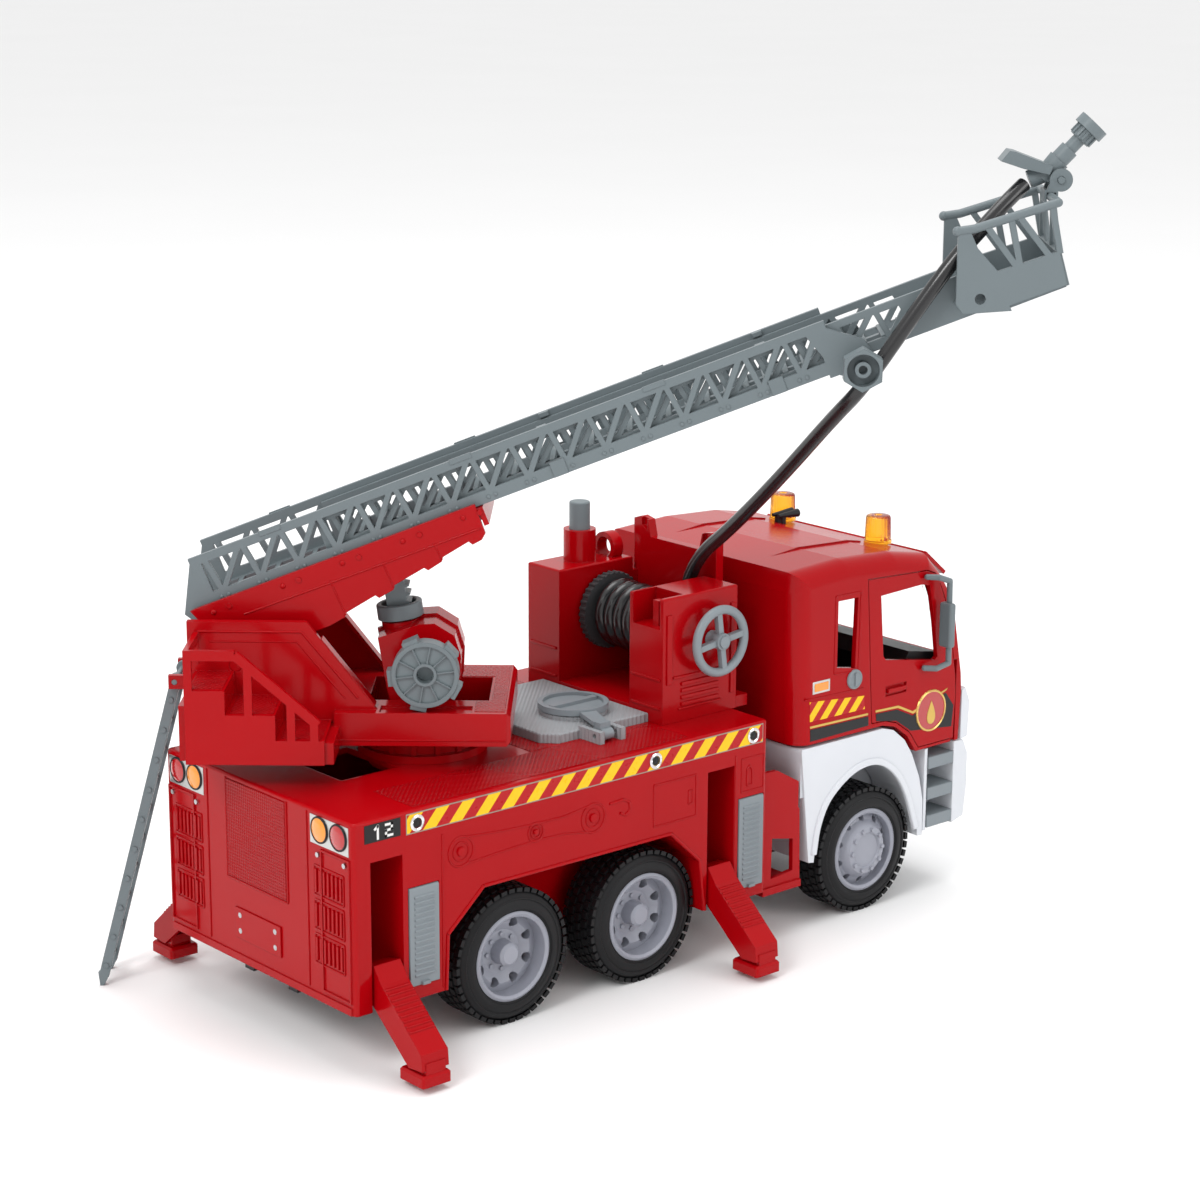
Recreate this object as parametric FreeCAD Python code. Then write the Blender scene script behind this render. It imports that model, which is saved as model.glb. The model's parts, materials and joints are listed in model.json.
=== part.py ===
import FreeCAD, Part
import math
import os

Vec = FreeCAD.Vector

# A 1:20 turntable-ladder fire engine. Millimetres, +X towards the cab, +Y left, +Z up.
# Everything is drawn in a working gauge: X from the body's rear face, Y from the centreline,
# Z from the ground. The last step moves it to the middle of the whole outline.

# ---- driving dimensions -------------------------------------------------------------------
ORIGIN_X = 157.8
ORIGIN_Y = -40.9

BODY_LENGTH = 213.3
BODY_HALF = 63.5
BODY_BOTTOM = 24.4
DECK = 100.5
WALL = 2.4
THIN = 1.6
GAP = 0.3
FIT = 0.05

WHEEL_X = (79.1, 147.8, 277.2)
TYRE_RADIUS = 28.0
RIM_RADIUS = 18.6
RIM_BORE = 16.2
WHEEL_OUTER = 60.4
WHEEL_INNER = 39.0
AXLE_RADIUS = 2.0

BAY_WIDTH = 15.0
BAY_REAR = (7.8, 179.4)
BAY_TOP = 84.0
BAY_DEPTH = 21.0
LEG_WIDTH = 12.6
LEG_PIN_Y = 57.5
LEG_PIN_Z = 34.0
PAD_Z = 3.0

SHUTTERS = ((25.2, 39.8, 29.8, 69.9), (196.8, 211.2, 29.0, 69.0))

SWIVEL_X = 80.8
SWING = -41.5
RING_RADIUS = 23.4
TABLE_BOTTOM = 111.1
TABLE_TOP = 124.4
TABLE_HALF = 35.8
TABLE_FRONT = 37.2
TABLE_REAR = -88.7
PANEL_B = 31.0
PANEL_TOP = 159.5
STAIR_B = 60.0
STAIR_REAR = -86.0
STAIR_FRONT = -32.8

ELEVATION = 21.2
LADDER_A = -89.6
LADDER_Z = 180.9
OUTER_HALF = 17.5
OUTER_LENGTH = 264.0
OUTER_HEIGHT = 20.5
INNER_HALF = 14.7
INNER_START = 52.0
INNER_END = 322.0
INNER_TOP = -2.4
INNER_BOTTOM = -18.6
PITCH = 16.05
BAR = 2.2
BRACE_BACK = 2.2
BRACE_AHEAD = 12.4

BOOM_PIN_A = -70.0
BOOM_PIN_Z = 142.0
LIFT_A = 3.9
LIFT_Z = 139.0
LIFT_LEAN = 7.5
ROD_OFFSET = 9.6
HUB_BORE = 14.8

REEL_X = 199.5
REEL_Z = 133.5
TOWER_REAR = 172.8
TOWER_FRONT = 214.5
TOWER_TOP = 154.2
RIGHT_TOWER = (-42.5, -21.9)
LEFT_TOWER = (23.6, 44.3)
REST_X = (217.4, 221.6)

CAB_REAR = 233.0
CAB_HALF = 61.0

HOSE_RADIUS = 2.95


# ---- shared shape helpers ------------------------------------------------------------------
def block(x0, x1, y0, y1, z0, z1):
    return Part.makeBox(x1 - x0, y1 - y0, z1 - z0, Vec(x0, y0, z0))


def rod(start, end, radius):
    along = Vec(*end) - Vec(*start)
    return Part.makeCylinder(radius, along.Length, Vec(*start), along)


def tube(start, end, outer, inner):
    return rod(start, end, outer).cut(rod(start, end, inner))


def cone(start, end, r0, r1):
    along = Vec(*end) - Vec(*start)
    return Part.makeCone(r0, r1, along.Length, Vec(*start), along)


def face_of(points):
    corners = [Vec(*p) for p in points]
    return Part.Face(Part.makePolygon(corners + [corners[0]]))


def slab_xz(points, y0, y1):
    return face_of([(x, y0, z) for x, z in points]).extrude(Vec(0, y1 - y0, 0))


def slab_yz(points, x0, x1):
    return face_of([(x0, y, z) for y, z in points]).extrude(Vec(x1 - x0, 0, 0))


def slab_xy(points, z0, z1):
    return face_of([(x, y, z0) for x, y in points]).extrude(Vec(0, 0, z1 - z0))


def fuse(shapes):
    return shapes[0].multiFuse(shapes[1:]).removeSplitter()


def flip(shape):
    return shape.mirror(Vec(0, 0, 0), Vec(0, 1, 0))


def pair(shape):
    return [shape, flip(shape)]


def group(shapes):
    return Part.makeCompound(shapes)


def rounded(shape, radius, wanted):
    edges = [e for e in shape.Edges if wanted(e)]
    return shape.makeFillet(radius, edges)


def along_axis(edge, axis):
    if len(edge.Vertexes) < 2:
        return False
    step = edge.Vertexes[-1].Point - edge.Vertexes[0].Point
    return abs(abs(step.dot(axis)) - step.Length) < 1e-6 and edge.Curve.TypeId == "Part::GeomLine"


def strip(start, end, width, y0, y1):
    """A flat bar in the X-Z plane from start to end, as thick as y0 to y1."""
    run = Vec(end[0] - start[0], 0, end[1] - start[1])
    side = Vec(-run.z, 0, run.x).normalize() * (width / 2)
    a = Vec(start[0], y0, start[1])
    b = Vec(end[0], y0, end[1])
    corners = [a + side, b + side, b - side, a - side]
    return Part.Face(Part.makePolygon(corners + [corners[0]])).extrude(Vec(0, y1 - y0, 0))


# ---- placing the turntable's and the ladder's own frames -----------------------------------
def on_table(shape):
    placed = shape.copy()
    placed.rotate(Vec(0, 0, 0), Vec(0, 0, 1), SWING)
    placed.translate(Vec(SWIVEL_X, 0, 0))
    return placed


def on_ladder(shape):
    """Ladder frame: X along the ladder from its rear end, Z above the top rail's upper edge."""
    placed = shape.copy()
    placed.rotate(Vec(0, 0, 0), Vec(0, 1, 0), -ELEVATION)
    placed.translate(Vec(LADDER_A, 0, LADDER_Z))
    return placed


def ladder_to_table(s, b, n):
    lean = math.radians(ELEVATION)
    a = LADDER_A + s * math.cos(lean) - n * math.sin(lean)
    z = LADDER_Z + s * math.sin(lean) + n * math.cos(lean)
    return (a, b, z)


def table_to_world(a, b, z):
    swing = math.radians(SWING)
    x = SWIVEL_X + a * math.cos(swing) - b * math.sin(swing)
    y = a * math.sin(swing) + b * math.cos(swing)
    return (x, y, z)


# ---- rear body -----------------------------------------------------------------------------
ARCH = ((43.4, 22.0), (44.4, 46.6), (61.9, 61.8), (158.9, 61.4), (174.6, 46.7), (177.8, 22.0))
ARCH_LINER = ((41.8, 24.4), (42.8, 47.3), (61.3, 63.4), (159.5, 63.0), (176.2, 47.3), (179.4, 24.4))
LINER_INNER = 33.0
LOCKER_DEPTH = 12.0


def side_cavities():
    """The right side's wheel arch, outrigger bays and lockers as cutting shapes."""
    tools = [slab_xz(ARCH, -BODY_HALF - 1, -LINER_INNER)]
    for x in BAY_REAR:
        tools.append(block(x, x + BAY_WIDTH, -BODY_HALF - 1, -BODY_HALF + BAY_DEPTH, 22.0, BAY_TOP))
    for x0, x1, z0, z1 in SHUTTERS:
        tools.append(block(x0, x1, -BODY_HALF - 1, -BODY_HALF + LOCKER_DEPTH, z0, z1))
    return fuse(tools)


def side_linings():
    """The walls behind the right side's arch, bays and lockers."""
    walls = [slab_xz(ARCH_LINER, -BODY_HALF + 1, -LINER_INNER + THIN)]
    for x in BAY_REAR:
        depth = -BODY_HALF + BAY_DEPTH + THIN
        walls.append(block(x - THIN, x + BAY_WIDTH + THIN, -BODY_HALF + 1, depth, BODY_BOTTOM, BAY_TOP + THIN))
    for x0, x1, z0, z1 in SHUTTERS:
        depth = -BODY_HALF + LOCKER_DEPTH + THIN
        walls.append(block(x0 - THIN, x1 + THIN, -BODY_HALF + 1, depth, z0 - THIN, z1 + THIN))
    return fuse(walls)


def rear_body_shell():
    outer = block(0, BODY_LENGTH, -BODY_HALF, BODY_HALF, BODY_BOTTOM, DECK)
    outer = rounded(outer, 2.0, lambda e: along_axis(e, Vec(0, 0, 1)))
    outer = rounded(outer, 1.2, lambda e: e.BoundBox.ZMin > DECK - 0.01)
    inner = block(WALL, BODY_LENGTH - WALL, -BODY_HALF + WALL, BODY_HALF - WALL, BODY_BOTTOM - 1, DECK - WALL)
    shell = outer.cut(inner)
    shell = fuse([shell] + pair(side_linings()))
    axle_slots = [block(x - 6.0, x + 6.0, -40.0, 40.0, 20.0, 37.0) for x in WHEEL_X[:2]]
    rail_slot = block(BODY_LENGTH - 5.0, BODY_LENGTH + 1.0, -19.0, 19.0, 20.0, 34.6)
    shell = shell.cut(fuse(pair(side_cavities()) + axle_slots + [rail_slot]))
    deck_hole = block(28.5, 56.0, -17.0, 17.0, DECK - 5, DECK + 1)
    hub_hole = rod((SWIVEL_X, 0, DECK - 5), (SWIVEL_X, 0, DECK + 1), HUB_BORE + 4.0)
    filler_hole = rod((150, -12.5, DECK - 5), (150, -12.5, DECK + 1), 12.6)
    shell = shell.cut(fuse([deck_hole, hub_hole, filler_hole]))
    rear = [block(-0.6, 0.5, -61.5, 61.5, BODY_BOTTOM, 27.4)]
    for side in (1, -1):
        y = 52.3 * side
        rear.append(block(-0.7, 0.5, y - 9.2, y + 9.2, 29.0, 86.0).cut(
            block(-1.0, 0.6, y - 8.4, y + 8.4, 29.8, 85.2)))
    return fuse([shell] + rear)


def turntable_ring():
    """The ribbed plinth ring that the turntable turns on."""
    base = (SWIVEL_X, 0, DECK)
    top = (SWIVEL_X, 0, TABLE_BOTTOM - GAP)
    ring = tube(base, top, RING_RADIUS, HUB_BORE + 4.0)
    step = tube(base, (SWIVEL_X, 0, DECK + 3.2), RING_RADIUS + 3.0, HUB_BORE + 4.0)
    ribs = []
    for k in range(16):
        rib = block(RING_RADIUS - 1.0, RING_RADIUS + 1.1, -1.1, 1.1, DECK, TABLE_BOTTOM - GAP)
        rib.rotate(Vec(0, 0, 0), Vec(0, 0, 1), k * 22.5)
        rib.translate(Vec(SWIVEL_X, 0, 0))
        ribs.append(rib)
    return fuse([ring, step] + ribs)


def chassis_frame():
    rails = []
    for side in (1, -1):
        y = 15.0 * side
        rails.append(block(5.0, 328.0, y - 3.0, y + 3.0, 19.0, 34.0))
    for x in (8.0, 42.0, 110.0, 185.0, 225.0, 312.0):
        rails.append(block(x, x + 8.0, -15.0, 15.0, 21.0, 32.0))
    for x in WHEEL_X:
        rails.append(block(x - 7.0, x + 7.0, -31.0, 31.0, 20.0, 36.0))
    for x in (12.0, 200.0):
        rails.append(block(x, x + 6.0, -40.0, 40.0, 34.0, 40.0))
    frame = fuse(rails)
    bores = [rod((x, -40, TYRE_RADIUS), (x, 40, TYRE_RADIUS), AXLE_RADIUS + FIT) for x in WHEEL_X]
    return frame.cut(fuse(bores))


def tank_cover_plate():
    outline = ((118.6, -28.0), (124.6, -34.0), (172.5, -34.0), (172.5, 34.0), (124.6, 34.0), (118.6, 28.0))
    plate = slab_xy(outline, DECK, DECK + 4.0)
    plate = rounded(plate, 0.8, lambda e: e.BoundBox.ZMin > DECK + 3.9)
    ring = tube((150, -12.5, DECK + 3.5), (150, -12.5, DECK + 5.6), 14.2, 11.6)
    ears = [block(141.0 + k, 143.6 + k, -46.5, -33.0, DECK, DECK + 5.2) for k in (-5.6, 5.6)]
    plate = fuse([plate, ring] + ears)
    holes = [rod((150, -12.5, DECK - 1), (150, -12.5, DECK + 6), 11.6)]
    holes.append(rod((130, -43.0, DECK + 3.0), (155, -43.0, DECK + 3.0), 0.9 + FIT))
    return plate.cut(fuse(holes))


def filler_lid():
    """A round dished lid with a bar across it, on a strap that is hinged beside the plate."""
    z = DECK + 6.0
    disc = rod((150, -12.5, z), (150, -12.5, z + 2.6), 14.8)
    dish = rod((150, -12.5, z + 1.2), (150, -12.5, z + 3), 12.6)
    lid = disc.cut(dish)
    bar = block(138.0, 162.0, -14.0, -11.0, z + 0.6, z + 2.6)
    plug = tube((150, -12.5, DECK + 1.0), (150, -12.5, z + 0.2), 11.3, 9.6)
    strap = slab_xy(((143, -24.5), (150, -26.6), (144.6, -39.5), (138.0, -39.5)), z, z + 1.8)
    knuckle = block(138.5, 144.1, -43.0, -38.5, DECK + 0.6, z + 1.8)
    barrel = rod((138.5, -43.0, DECK + 3.0), (144.1, -43.0, DECK + 3.0), 2.4)
    lid = fuse([lid, bar, plug, strap, knuckle, barrel])
    pin_hole = rod((130, -43.0, DECK + 3.0), (155, -43.0, DECK + 3.0), 0.9 + FIT)
    relief = block(135.0, 147.0, -34.3, -30.0, DECK, DECK + 4.4)
    return lid.cut(fuse([pin_hole, relief]))


def water_tank():
    outer = block(113.0, 169.0, -30.0, 28.0, 66.0, DECK - WALL - 0.1)
    inner = block(114.6, 167.4, -28.4, 26.4, 67.6, DECK - WALL - 1.7)
    neck = tube((150, -12.5, DECK - WALL - 1.0), (150, -12.5, DECK - 0.1), 12.3, 11.6)
    mouth = rod((150, -12.5, DECK - WALL - 3), (150, -12.5, DECK), 11.6)
    return fuse([outer.cut(inner), neck]).cut(mouth)


# ---- hose bay, pump and reel ---------------------------------------------------------------
BUTTON_AT = (193.0, 34.0)


def tower(y0, y1):
    outer = block(TOWER_REAR, TOWER_FRONT, y0, y1, DECK, TOWER_TOP)
    outer = rounded(outer, 0.9, lambda e: e.BoundBox.ZMin > DECK + 1)
    hollow = block(TOWER_REAR + 2, TOWER_FRONT - 2, y0 + 2, y1 - 2, DECK - 1, TOWER_TOP - 2)
    return outer.cut(hollow)


def ladder_rest():
    """The upright frame in front of the towers with two horned posts that cradle the ladder."""
    outline = [(-26, DECK), (26, DECK), (26, 170.6), (22, 172.0), (17.2, 171.0), (15.4, 163.8)]
    outline += [(-15.4, 163.8), (-17.2, 171.0), (-22, 172.0), (-26, 170.6)]
    plate = slab_yz(outline, REST_X[0], REST_X[1])
    notch = slab_yz(((17.6, 166.0), (21.0, 168.5), (21.0, 173.0), (17.6, 173.0)), REST_X[0] - 1, REST_X[0] + 1.6)
    return plate.cut(fuse(pair(notch)))


def hose_bay_housing():
    right = tower(*RIGHT_TOWER)
    left = tower(*LEFT_TOWER)
    pocket = block(TOWER_REAR - 1, 185.5, -40.5, -23.9, 141.0, TOWER_TOP + 1)
    pocket_floor = block(TOWER_REAR, 187.0, -42.0, -22.4, 139.0, 141.0)
    pocket_front = block(185.5, 187.0, -41.0, -23.4, 140.0, TOWER_TOP - 0.5)
    post = block(177.0, 180.5, -35.0, -31.5, 140.5, 151.5)
    right = fuse([right.cut(pocket), pocket_floor, pocket_front, post])
    floor = block(TOWER_REAR, REST_X[1], -42.0, 43.8, DECK, DECK + 5.0)
    floor = floor.cut(block(175.0, 212.0, 25.6, 42.3, DECK - 1, DECK + 6))
    rest = ladder_rest()
    links = [block(213.0, 218.0, y - 1.2, y + 1.2, DECK, 148.0) for y in (-23.1, 24.8)]
    sill = block(216.0, 219.0, -24.0, 25.0, DECK, 112.0)
    button_tube = rod((BUTTON_AT[0], BUTTON_AT[1], TOWER_TOP - 1), (BUTTON_AT[0], BUTTON_AT[1], 168.0), 7.0)
    loop = tube((206.0, 33.0, 158.0), (211.5, 33.0, 158.0), 6.6, 4.4)
    loop = loop.cut(block(200, 215, 20, 50, 145, TOWER_TOP - 0.8))
    housing = fuse([right, left, floor, rest, sill, button_tube, loop] + links)
    bores = [rod((REEL_X, -60, REEL_Z), (REEL_X, 27, REEL_Z), 3.0 + FIT)]
    bores.append(rod((BUTTON_AT[0], BUTTON_AT[1], 140), (BUTTON_AT[0], BUTTON_AT[1], 170), 4.6))
    return housing.cut(fuse(bores))


def pump_barrel():
    """The pump's cylinder inside the left tower, with its outlet spout towards the reel."""
    x, y = BUTTON_AT
    barrel = tube((x, y, DECK + 5.0), (x, y, 132.0), 7.4, 6.0)
    foot = rod((x, y, DECK + 2.0), (x, y, DECK + 5.0), 8.0)
    spout = rod((x - 6.5, y, DECK + 9.0), (x - 14.0, y, DECK + 9.0), 2.0)
    body = fuse([barrel, foot, spout])
    passage = rod((x - 4.0, y, DECK + 9.0), (x - 15.0, y, DECK + 9.0), 1.1)
    return body.cut(passage)


def pump_spring():
    """A compression spring, drawn as its sleeve: eight coils wound round the plunger's stem."""
    x, y = BUTTON_AT
    coils = []
    for k in range(8):
        coils.append(Part.makeTorus(4.6, 0.5, Vec(x, y, 106.2 + 2.45 * k), Vec(0, 0, 1)))
    ties = [rod((x + 4.6, y, 106.2), (x + 4.6, y, 106.2 + 2.45 * 7), 0.4)]
    return fuse(coils + ties)


def pump_plunger():
    x, y = BUTTON_AT
    piston = rod((x, y, 124.6), (x, y, 128.6), 5.9)
    stem = rod((x, y, 128.0), (x, y, 180.0), 4.5)
    stem = rounded(stem, 0.8, lambda e: e.BoundBox.ZMin > 179.9)
    guide = rod((x, y, 118.4), (x, y, 125.0), 3.4)
    return fuse([piston, stem, guide])


def reel_spool():
    """Drum with two flanges; the far flange's rim is knurled."""
    drum = rod((REEL_X, -19.0, REEL_Z), (REEL_X, 19.0, REEL_Z), 6.5)
    left = rod((REEL_X, 18.8, REEL_Z), (REEL_X, 22.4, REEL_Z), 16.2)
    right = rod((REEL_X, -20.6, REEL_Z), (REEL_X, -18.8, REEL_Z), 15.6)
    teeth = []
    for k in range(36):
        turn = math.radians(10 * k)
        x = REEL_X + 16.1 * math.cos(turn)
        z = REEL_Z + 16.1 * math.sin(turn)
        teeth.append(rod((x, 18.8, z), (x, 22.4, z), 0.75))
    spool = fuse([drum, left, right] + teeth)
    return spool.cut(rod((REEL_X, -30, REEL_Z), (REEL_X, 30, REEL_Z), 3.0))


def handwheel():
    """Four-spoked handwheel with the reel's shaft in one piece."""
    y = -48.5
    ring = Part.makeTorus(13.3, 1.9, Vec(REEL_X, y, REEL_Z), Vec(0, 1, 0))
    hub = rod((REEL_X, y - 2.2, REEL_Z), (REEL_X, -43.0, REEL_Z), 3.6)
    cap = rod((REEL_X, y - 3.0, REEL_Z), (REEL_X, y, REEL_Z), 2.6)
    shaft = rod((REEL_X, -44.0, REEL_Z), (REEL_X, 25.4, REEL_Z), 3.0)
    spokes = []
    for k in range(4):
        spoke = block(2.0, 12.6, y - 1.2, y + 1.2, -1.3, 1.3)
        spoke.rotate(Vec(0, 0, 0), Vec(0, 1, 0), k * 90 - 8)
        spoke.translate(Vec(REEL_X, 0, REEL_Z))
        spokes.append(spoke)
    return fuse([ring, hub, cap, shaft] + spokes)


# The free run of the hose from the top of the wound turns to the monitor's inlet.
HOSE_ROUTE = (
    (211.3, -13.0, 133.5),
    (211.6, -13.6, 147.0),
    (211.2, -21.5, 163.0),
    (208.5, -45.0, 180.0),
    (204.5, -77.2, 206.9),
    (198.3, -112.0, 237.0),
    (195.2, -130.2, 251.4),
    (208.0, -141.0, 276.8),
    (221.9, -150.7, 300.9),
    (233.8, -154.1, 312.2),
    (245.0, -155.4, 321.2),
    (253.9, -155.8, 326.9),
)


def hose_path(points):
    """Straight runs joined by tangent arcs, each as large as its two runs allow."""
    nodes = [Vec(*p) for p in points]
    edges = []
    here = nodes[0]
    for before, corner, after in zip(nodes, nodes[1:], nodes[2:]):
        into = (corner - before).normalize()
        out = (after - corner).normalize()
        turn = into.getAngle(out)
        shorter = min((corner - before).Length, (after - corner).Length)
        reach = 0.45 * shorter
        radius = reach / math.tan(turn / 2)
        first = corner - into * reach
        last = corner + out * reach
        middle_way = (out - into).normalize()
        centre = corner + middle_way * (radius / math.cos(turn / 2))
        middle = centre - middle_way * radius
        edges.append(Part.LineSegment(here, first).toShape())
        edges.append(Part.Arc(first, middle, last).toShape())
        print("hose bend radius", round(radius, 1), "run", round((after - corner).Length, 1))
        here = last
    edges.append(Part.LineSegment(here, nodes[-1]).toShape())
    return Part.Wire(edges)


def hose():
    path = hose_path(HOSE_ROUTE)
    start = Vec(*HOSE_ROUTE[0])
    along = Vec(*HOSE_ROUTE[1]) - start
    section = Part.Wire([Part.makeCircle(HOSE_RADIUS, start, along)])
    body = path.makePipeShell([section], True, False)
    print("hose length", round(path.Length, 1), "volume ratio",
          round(body.Volume / (path.Length * math.pi * HOSE_RADIUS ** 2), 4))
    return body


def hose_coil():
    """The turns wound on the drum, as one closed ring of their outer shape."""
    outer = rod((REEL_X, -18.4, REEL_Z), (REEL_X, 18.4, REEL_Z), 14.7)
    bore = rod((REEL_X, -20, REEL_Z), (REEL_X, 20, REEL_Z), 6.9)
    way_out = rod((211.27, -12.9, 129.5), (211.7, -13.7, 151.0), HOSE_RADIUS + GAP)
    return outer.cut(fuse([bore, way_out]))


# ---- outriggers ----------------------------------------------------------------------------
def outrigger_leg(x_middle):
    """A right-hand leg, down: a ribbed channel from the bay's pin to its foot pad."""
    x0 = x_middle - LEG_WIDTH / 2
    x1 = x_middle + LEG_WIDTH / 2
    arm = [(-LEG_PIN_Y + 3.8, 31.4), (-LEG_PIN_Y + 2.4, 41.0), (-LEG_PIN_Y - 5.4, 42.6)]
    arm += [(-67.6, 36.4), (-91.8, 15.6), (-92.4, 9.2), (-84.0, 8.6), (-62.6, 26.0), (-57.5, 29.2)]
    body = slab_yz(arm, x0, x1)
    hollow = [(-63.4, 30.0), (-67.2, 33.0), (-88.0, 14.4), (-86.0, 6.0), (-62.4, 24.0)]
    body = body.cut(slab_yz(hollow, x0 + 1.8, x1 - 1.8))
    ribs = []
    for k in range(9):
        share = 0.08 + 0.075 * k
        y = -67.6 + (-91.8 + 67.6) * share
        z = 36.4 + (15.6 - 36.4) * share
        ribs.append(rod((x0 + 0.4, y, z), (x1 - 0.4, y, z), 0.55))
    socket = block(x_middle - 4.6, x_middle + 4.6, -92.6, -81.0, 7.0, 12.2)
    pad = block(x_middle - 6.8, x_middle + 6.8, -93.6, -78.4, PAD_Z, PAD_Z + 4.6)
    pad = rounded(pad, 1.4, lambda e: along_axis(e, Vec(0, 0, 1)))
    top_edges = [e for e in pad.Edges if e.BoundBox.ZMin > PAD_Z + 4.5]
    pad = pad.makeChamfer(0.9, top_edges)
    leg = fuse([body, socket, pad] + ribs)
    return leg.cut(rod((x0 - 1, -LEG_PIN_Y, LEG_PIN_Z), (x1 + 1, -LEG_PIN_Y, LEG_PIN_Z), 1.5 + FIT))


def outrigger_pins():
    pins = []
    for x in BAY_REAR:
        pins += pair(rod((x, -LEG_PIN_Y, LEG_PIN_Z), (x + BAY_WIDTH, -LEG_PIN_Y, LEG_PIN_Z), 1.5))
    return group(pins)


# ---- locker shutters -----------------------------------------------------------------------
def shutter(x0, x1, z0, z1):
    """A right-hand roller-blind look flap with a pull tab at its foot."""
    y_out = -BODY_HALF - 0.5
    plate = block(x0 + GAP, x1 - GAP, y_out, y_out + 2.0, z0 + GAP, z1 - 1.3)
    knuckle = rod((x0 + GAP, y_out + 1.0, z1 - 1.3), (x1 - GAP, y_out + 1.0, z1 - 1.3), 1.0)
    slats = []
    count = 15
    for k in range(count):
        z = z0 + 3.2 + (z1 - z0 - 6.4) * (k + 0.5) / count
        slats.append(rod((x0 + 2.6, y_out + 0.1, z), (x1 - 2.6, y_out + 0.1, z), 0.62))
    middle = (x0 + x1) / 2
    tab = block(middle - 1.8, middle + 1.8, y_out - 1.2, y_out + 0.6, z0 + GAP, z0 + 1.6)
    return fuse([plate, knuckle, tab] + slats)


# ---- wheels --------------------------------------------------------------------------------
def revolve_y(profile, x, z):
    """Turn an (radius, y) outline round the wheel's axis."""
    face = face_of([(x + r, y, z) for r, y in profile])
    return face.revolve(Vec(x, 0, z), Vec(0, 1, 0), 360)


def tyre(x):
    out, inn = WHEEL_OUTER, WHEEL_INNER
    profile = [(RIM_RADIUS, -inn), (24.0, -inn), (27.2, -inn - 2.2), (TYRE_RADIUS, -inn - 4.0)]
    profile += [(TYRE_RADIUS, -out + 4.0), (27.2, -out + 1.8), (24.4, -out), (20.6, -out - 0.5), (RIM_RADIUS, -out + 0.4)]
    body = revolve_y(profile, x, TYRE_RADIUS)
    grooves = []
    for y in (-46.2, -49.7, -53.2):
        grooves.append(revolve_y([(27.0, y - 0.5), (29.0, y - 0.5), (29.0, y + 0.5), (27.0, y + 0.5)], x, TYRE_RADIUS))
    return body.cut(fuse(grooves))


def rim(x, front):
    """Rear rims are dished with a hub cap, front rims are domed with a ring of studs."""
    out = WHEEL_OUTER
    barrel = [(RIM_RADIUS - 0.1, -41.0), (RIM_RADIUS - 0.1, -out + 0.5), (17.4, -out - 0.3), (RIM_BORE, -out + 0.6)]
    barrel += [(RIM_BORE, -41.0)]
    if front:
        disc = [(16.6, -53.0), (16.6, -55.6), (13.2, -57.6), (10.6, -61.0), (8.0, -61.4), (7.4, -60.4)]
        disc += [(0.0, -60.4), (0.0, -50.0), (10.0, -50.0)]
        stud_r, stud_y, stud_n = 9.2, -61.3, 10
    else:
        disc = [(16.6, -50.0), (16.6, -53.0), (12.6, -54.4), (9.0, -52.0), (5.2, -52.0), (4.8, -57.4), (3.6, -58.4)]
        disc += [(0.0, -58.4), (0.0, -47.0), (12.0, -48.5)]
        stud_r, stud_y, stud_n = 7.2, -51.9, 8
    body = fuse([revolve_y(barrel, x, TYRE_RADIUS), revolve_y(disc, x, TYRE_RADIUS)])
    holes = []
    studs = []
    for k in range(10 if front else 8):
        turn = 2 * math.pi * (k + 0.5) / (10 if front else 8)
        r = 14.2 if front else 12.6
        cx, cz = x + r * math.cos(turn), TYRE_RADIUS + r * math.sin(turn)
        holes.append(rod((cx, -64, cz), (cx, -44, cz), 1.5 if front else 2.0))
    for k in range(stud_n):
        turn = 2 * math.pi * k / stud_n
        cx, cz = x + stud_r * math.cos(turn), TYRE_RADIUS + stud_r * math.sin(turn)
        studs.append(rod((cx, stud_y - 0.9, cz), (cx, stud_y + 1.5, cz), 0.95))
    hub = rod((x, -50.0, TYRE_RADIUS), (x, -32.5, TYRE_RADIUS), 4.4)
    body = fuse([body.cut(fuse(holes)), hub] + studs)
    return body.cut(rod((x, -57.5, TYRE_RADIUS), (x, -30, TYRE_RADIUS), AXLE_RADIUS))


def wheel_rims(x, front):
    axle = rod((x, -57.0, TYRE_RADIUS), (x, 57.0, TYRE_RADIUS), AXLE_RADIUS)
    return group([axle] + pair(rim(x, front)))


# ---- cab -----------------------------------------------------------------------------------
CAB_SIDE = ((233.5, 83.2), (231.6, 150.0), (232.2, 158.6), (262.0, 160.2), (292.0, 158.8), (314.5, 154.8),
            (319.6, 149.6), (328.6, 128.9), (334.6, 98.0), (335.2, 89.7), (334.0, 67.4), (306.6, 67.4),
            (301.0, 75.4), (293.0, 81.2), (285.0, 83.2))
CAB_INNER = ((236.0, 85.6), (234.2, 150.0), (234.8, 156.0), (262.0, 157.6), (292.0, 156.2), (313.2, 152.6),
             (317.6, 148.2), (326.2, 128.0), (332.2, 97.6), (332.8, 89.7), (331.8, 69.8), (308.0, 69.8),
             (302.6, 77.4), (294.0, 83.6), (285.6, 85.6))
DOOR_EDGE = ((274.0, 150.0), (310.5, 148.4), (317.0, 146.0), (325.0, 128.0), (331.0, 97.0), (331.4, 89.7),
             (330.6, 69.0), (308.4, 69.0), (302.6, 77.0), (294.0, 83.0), (287.0, 85.2), (278.4, 85.6))
DOOR_WINDOW = ((282.0, 141.8), (307.4, 142.8), (312.6, 141.6), (316.4, 124.0), (318.8, 108.4), (317.0, 107.2),
               (286.0, 112.6), (284.4, 114.6))
ROOF_ROUND = 8.0


def cab_block(side, half, roof_round):
    body = slab_xz(side, -half, half)
    return rounded(body, roof_round, lambda e: along_axis_top(e, half))


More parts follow.
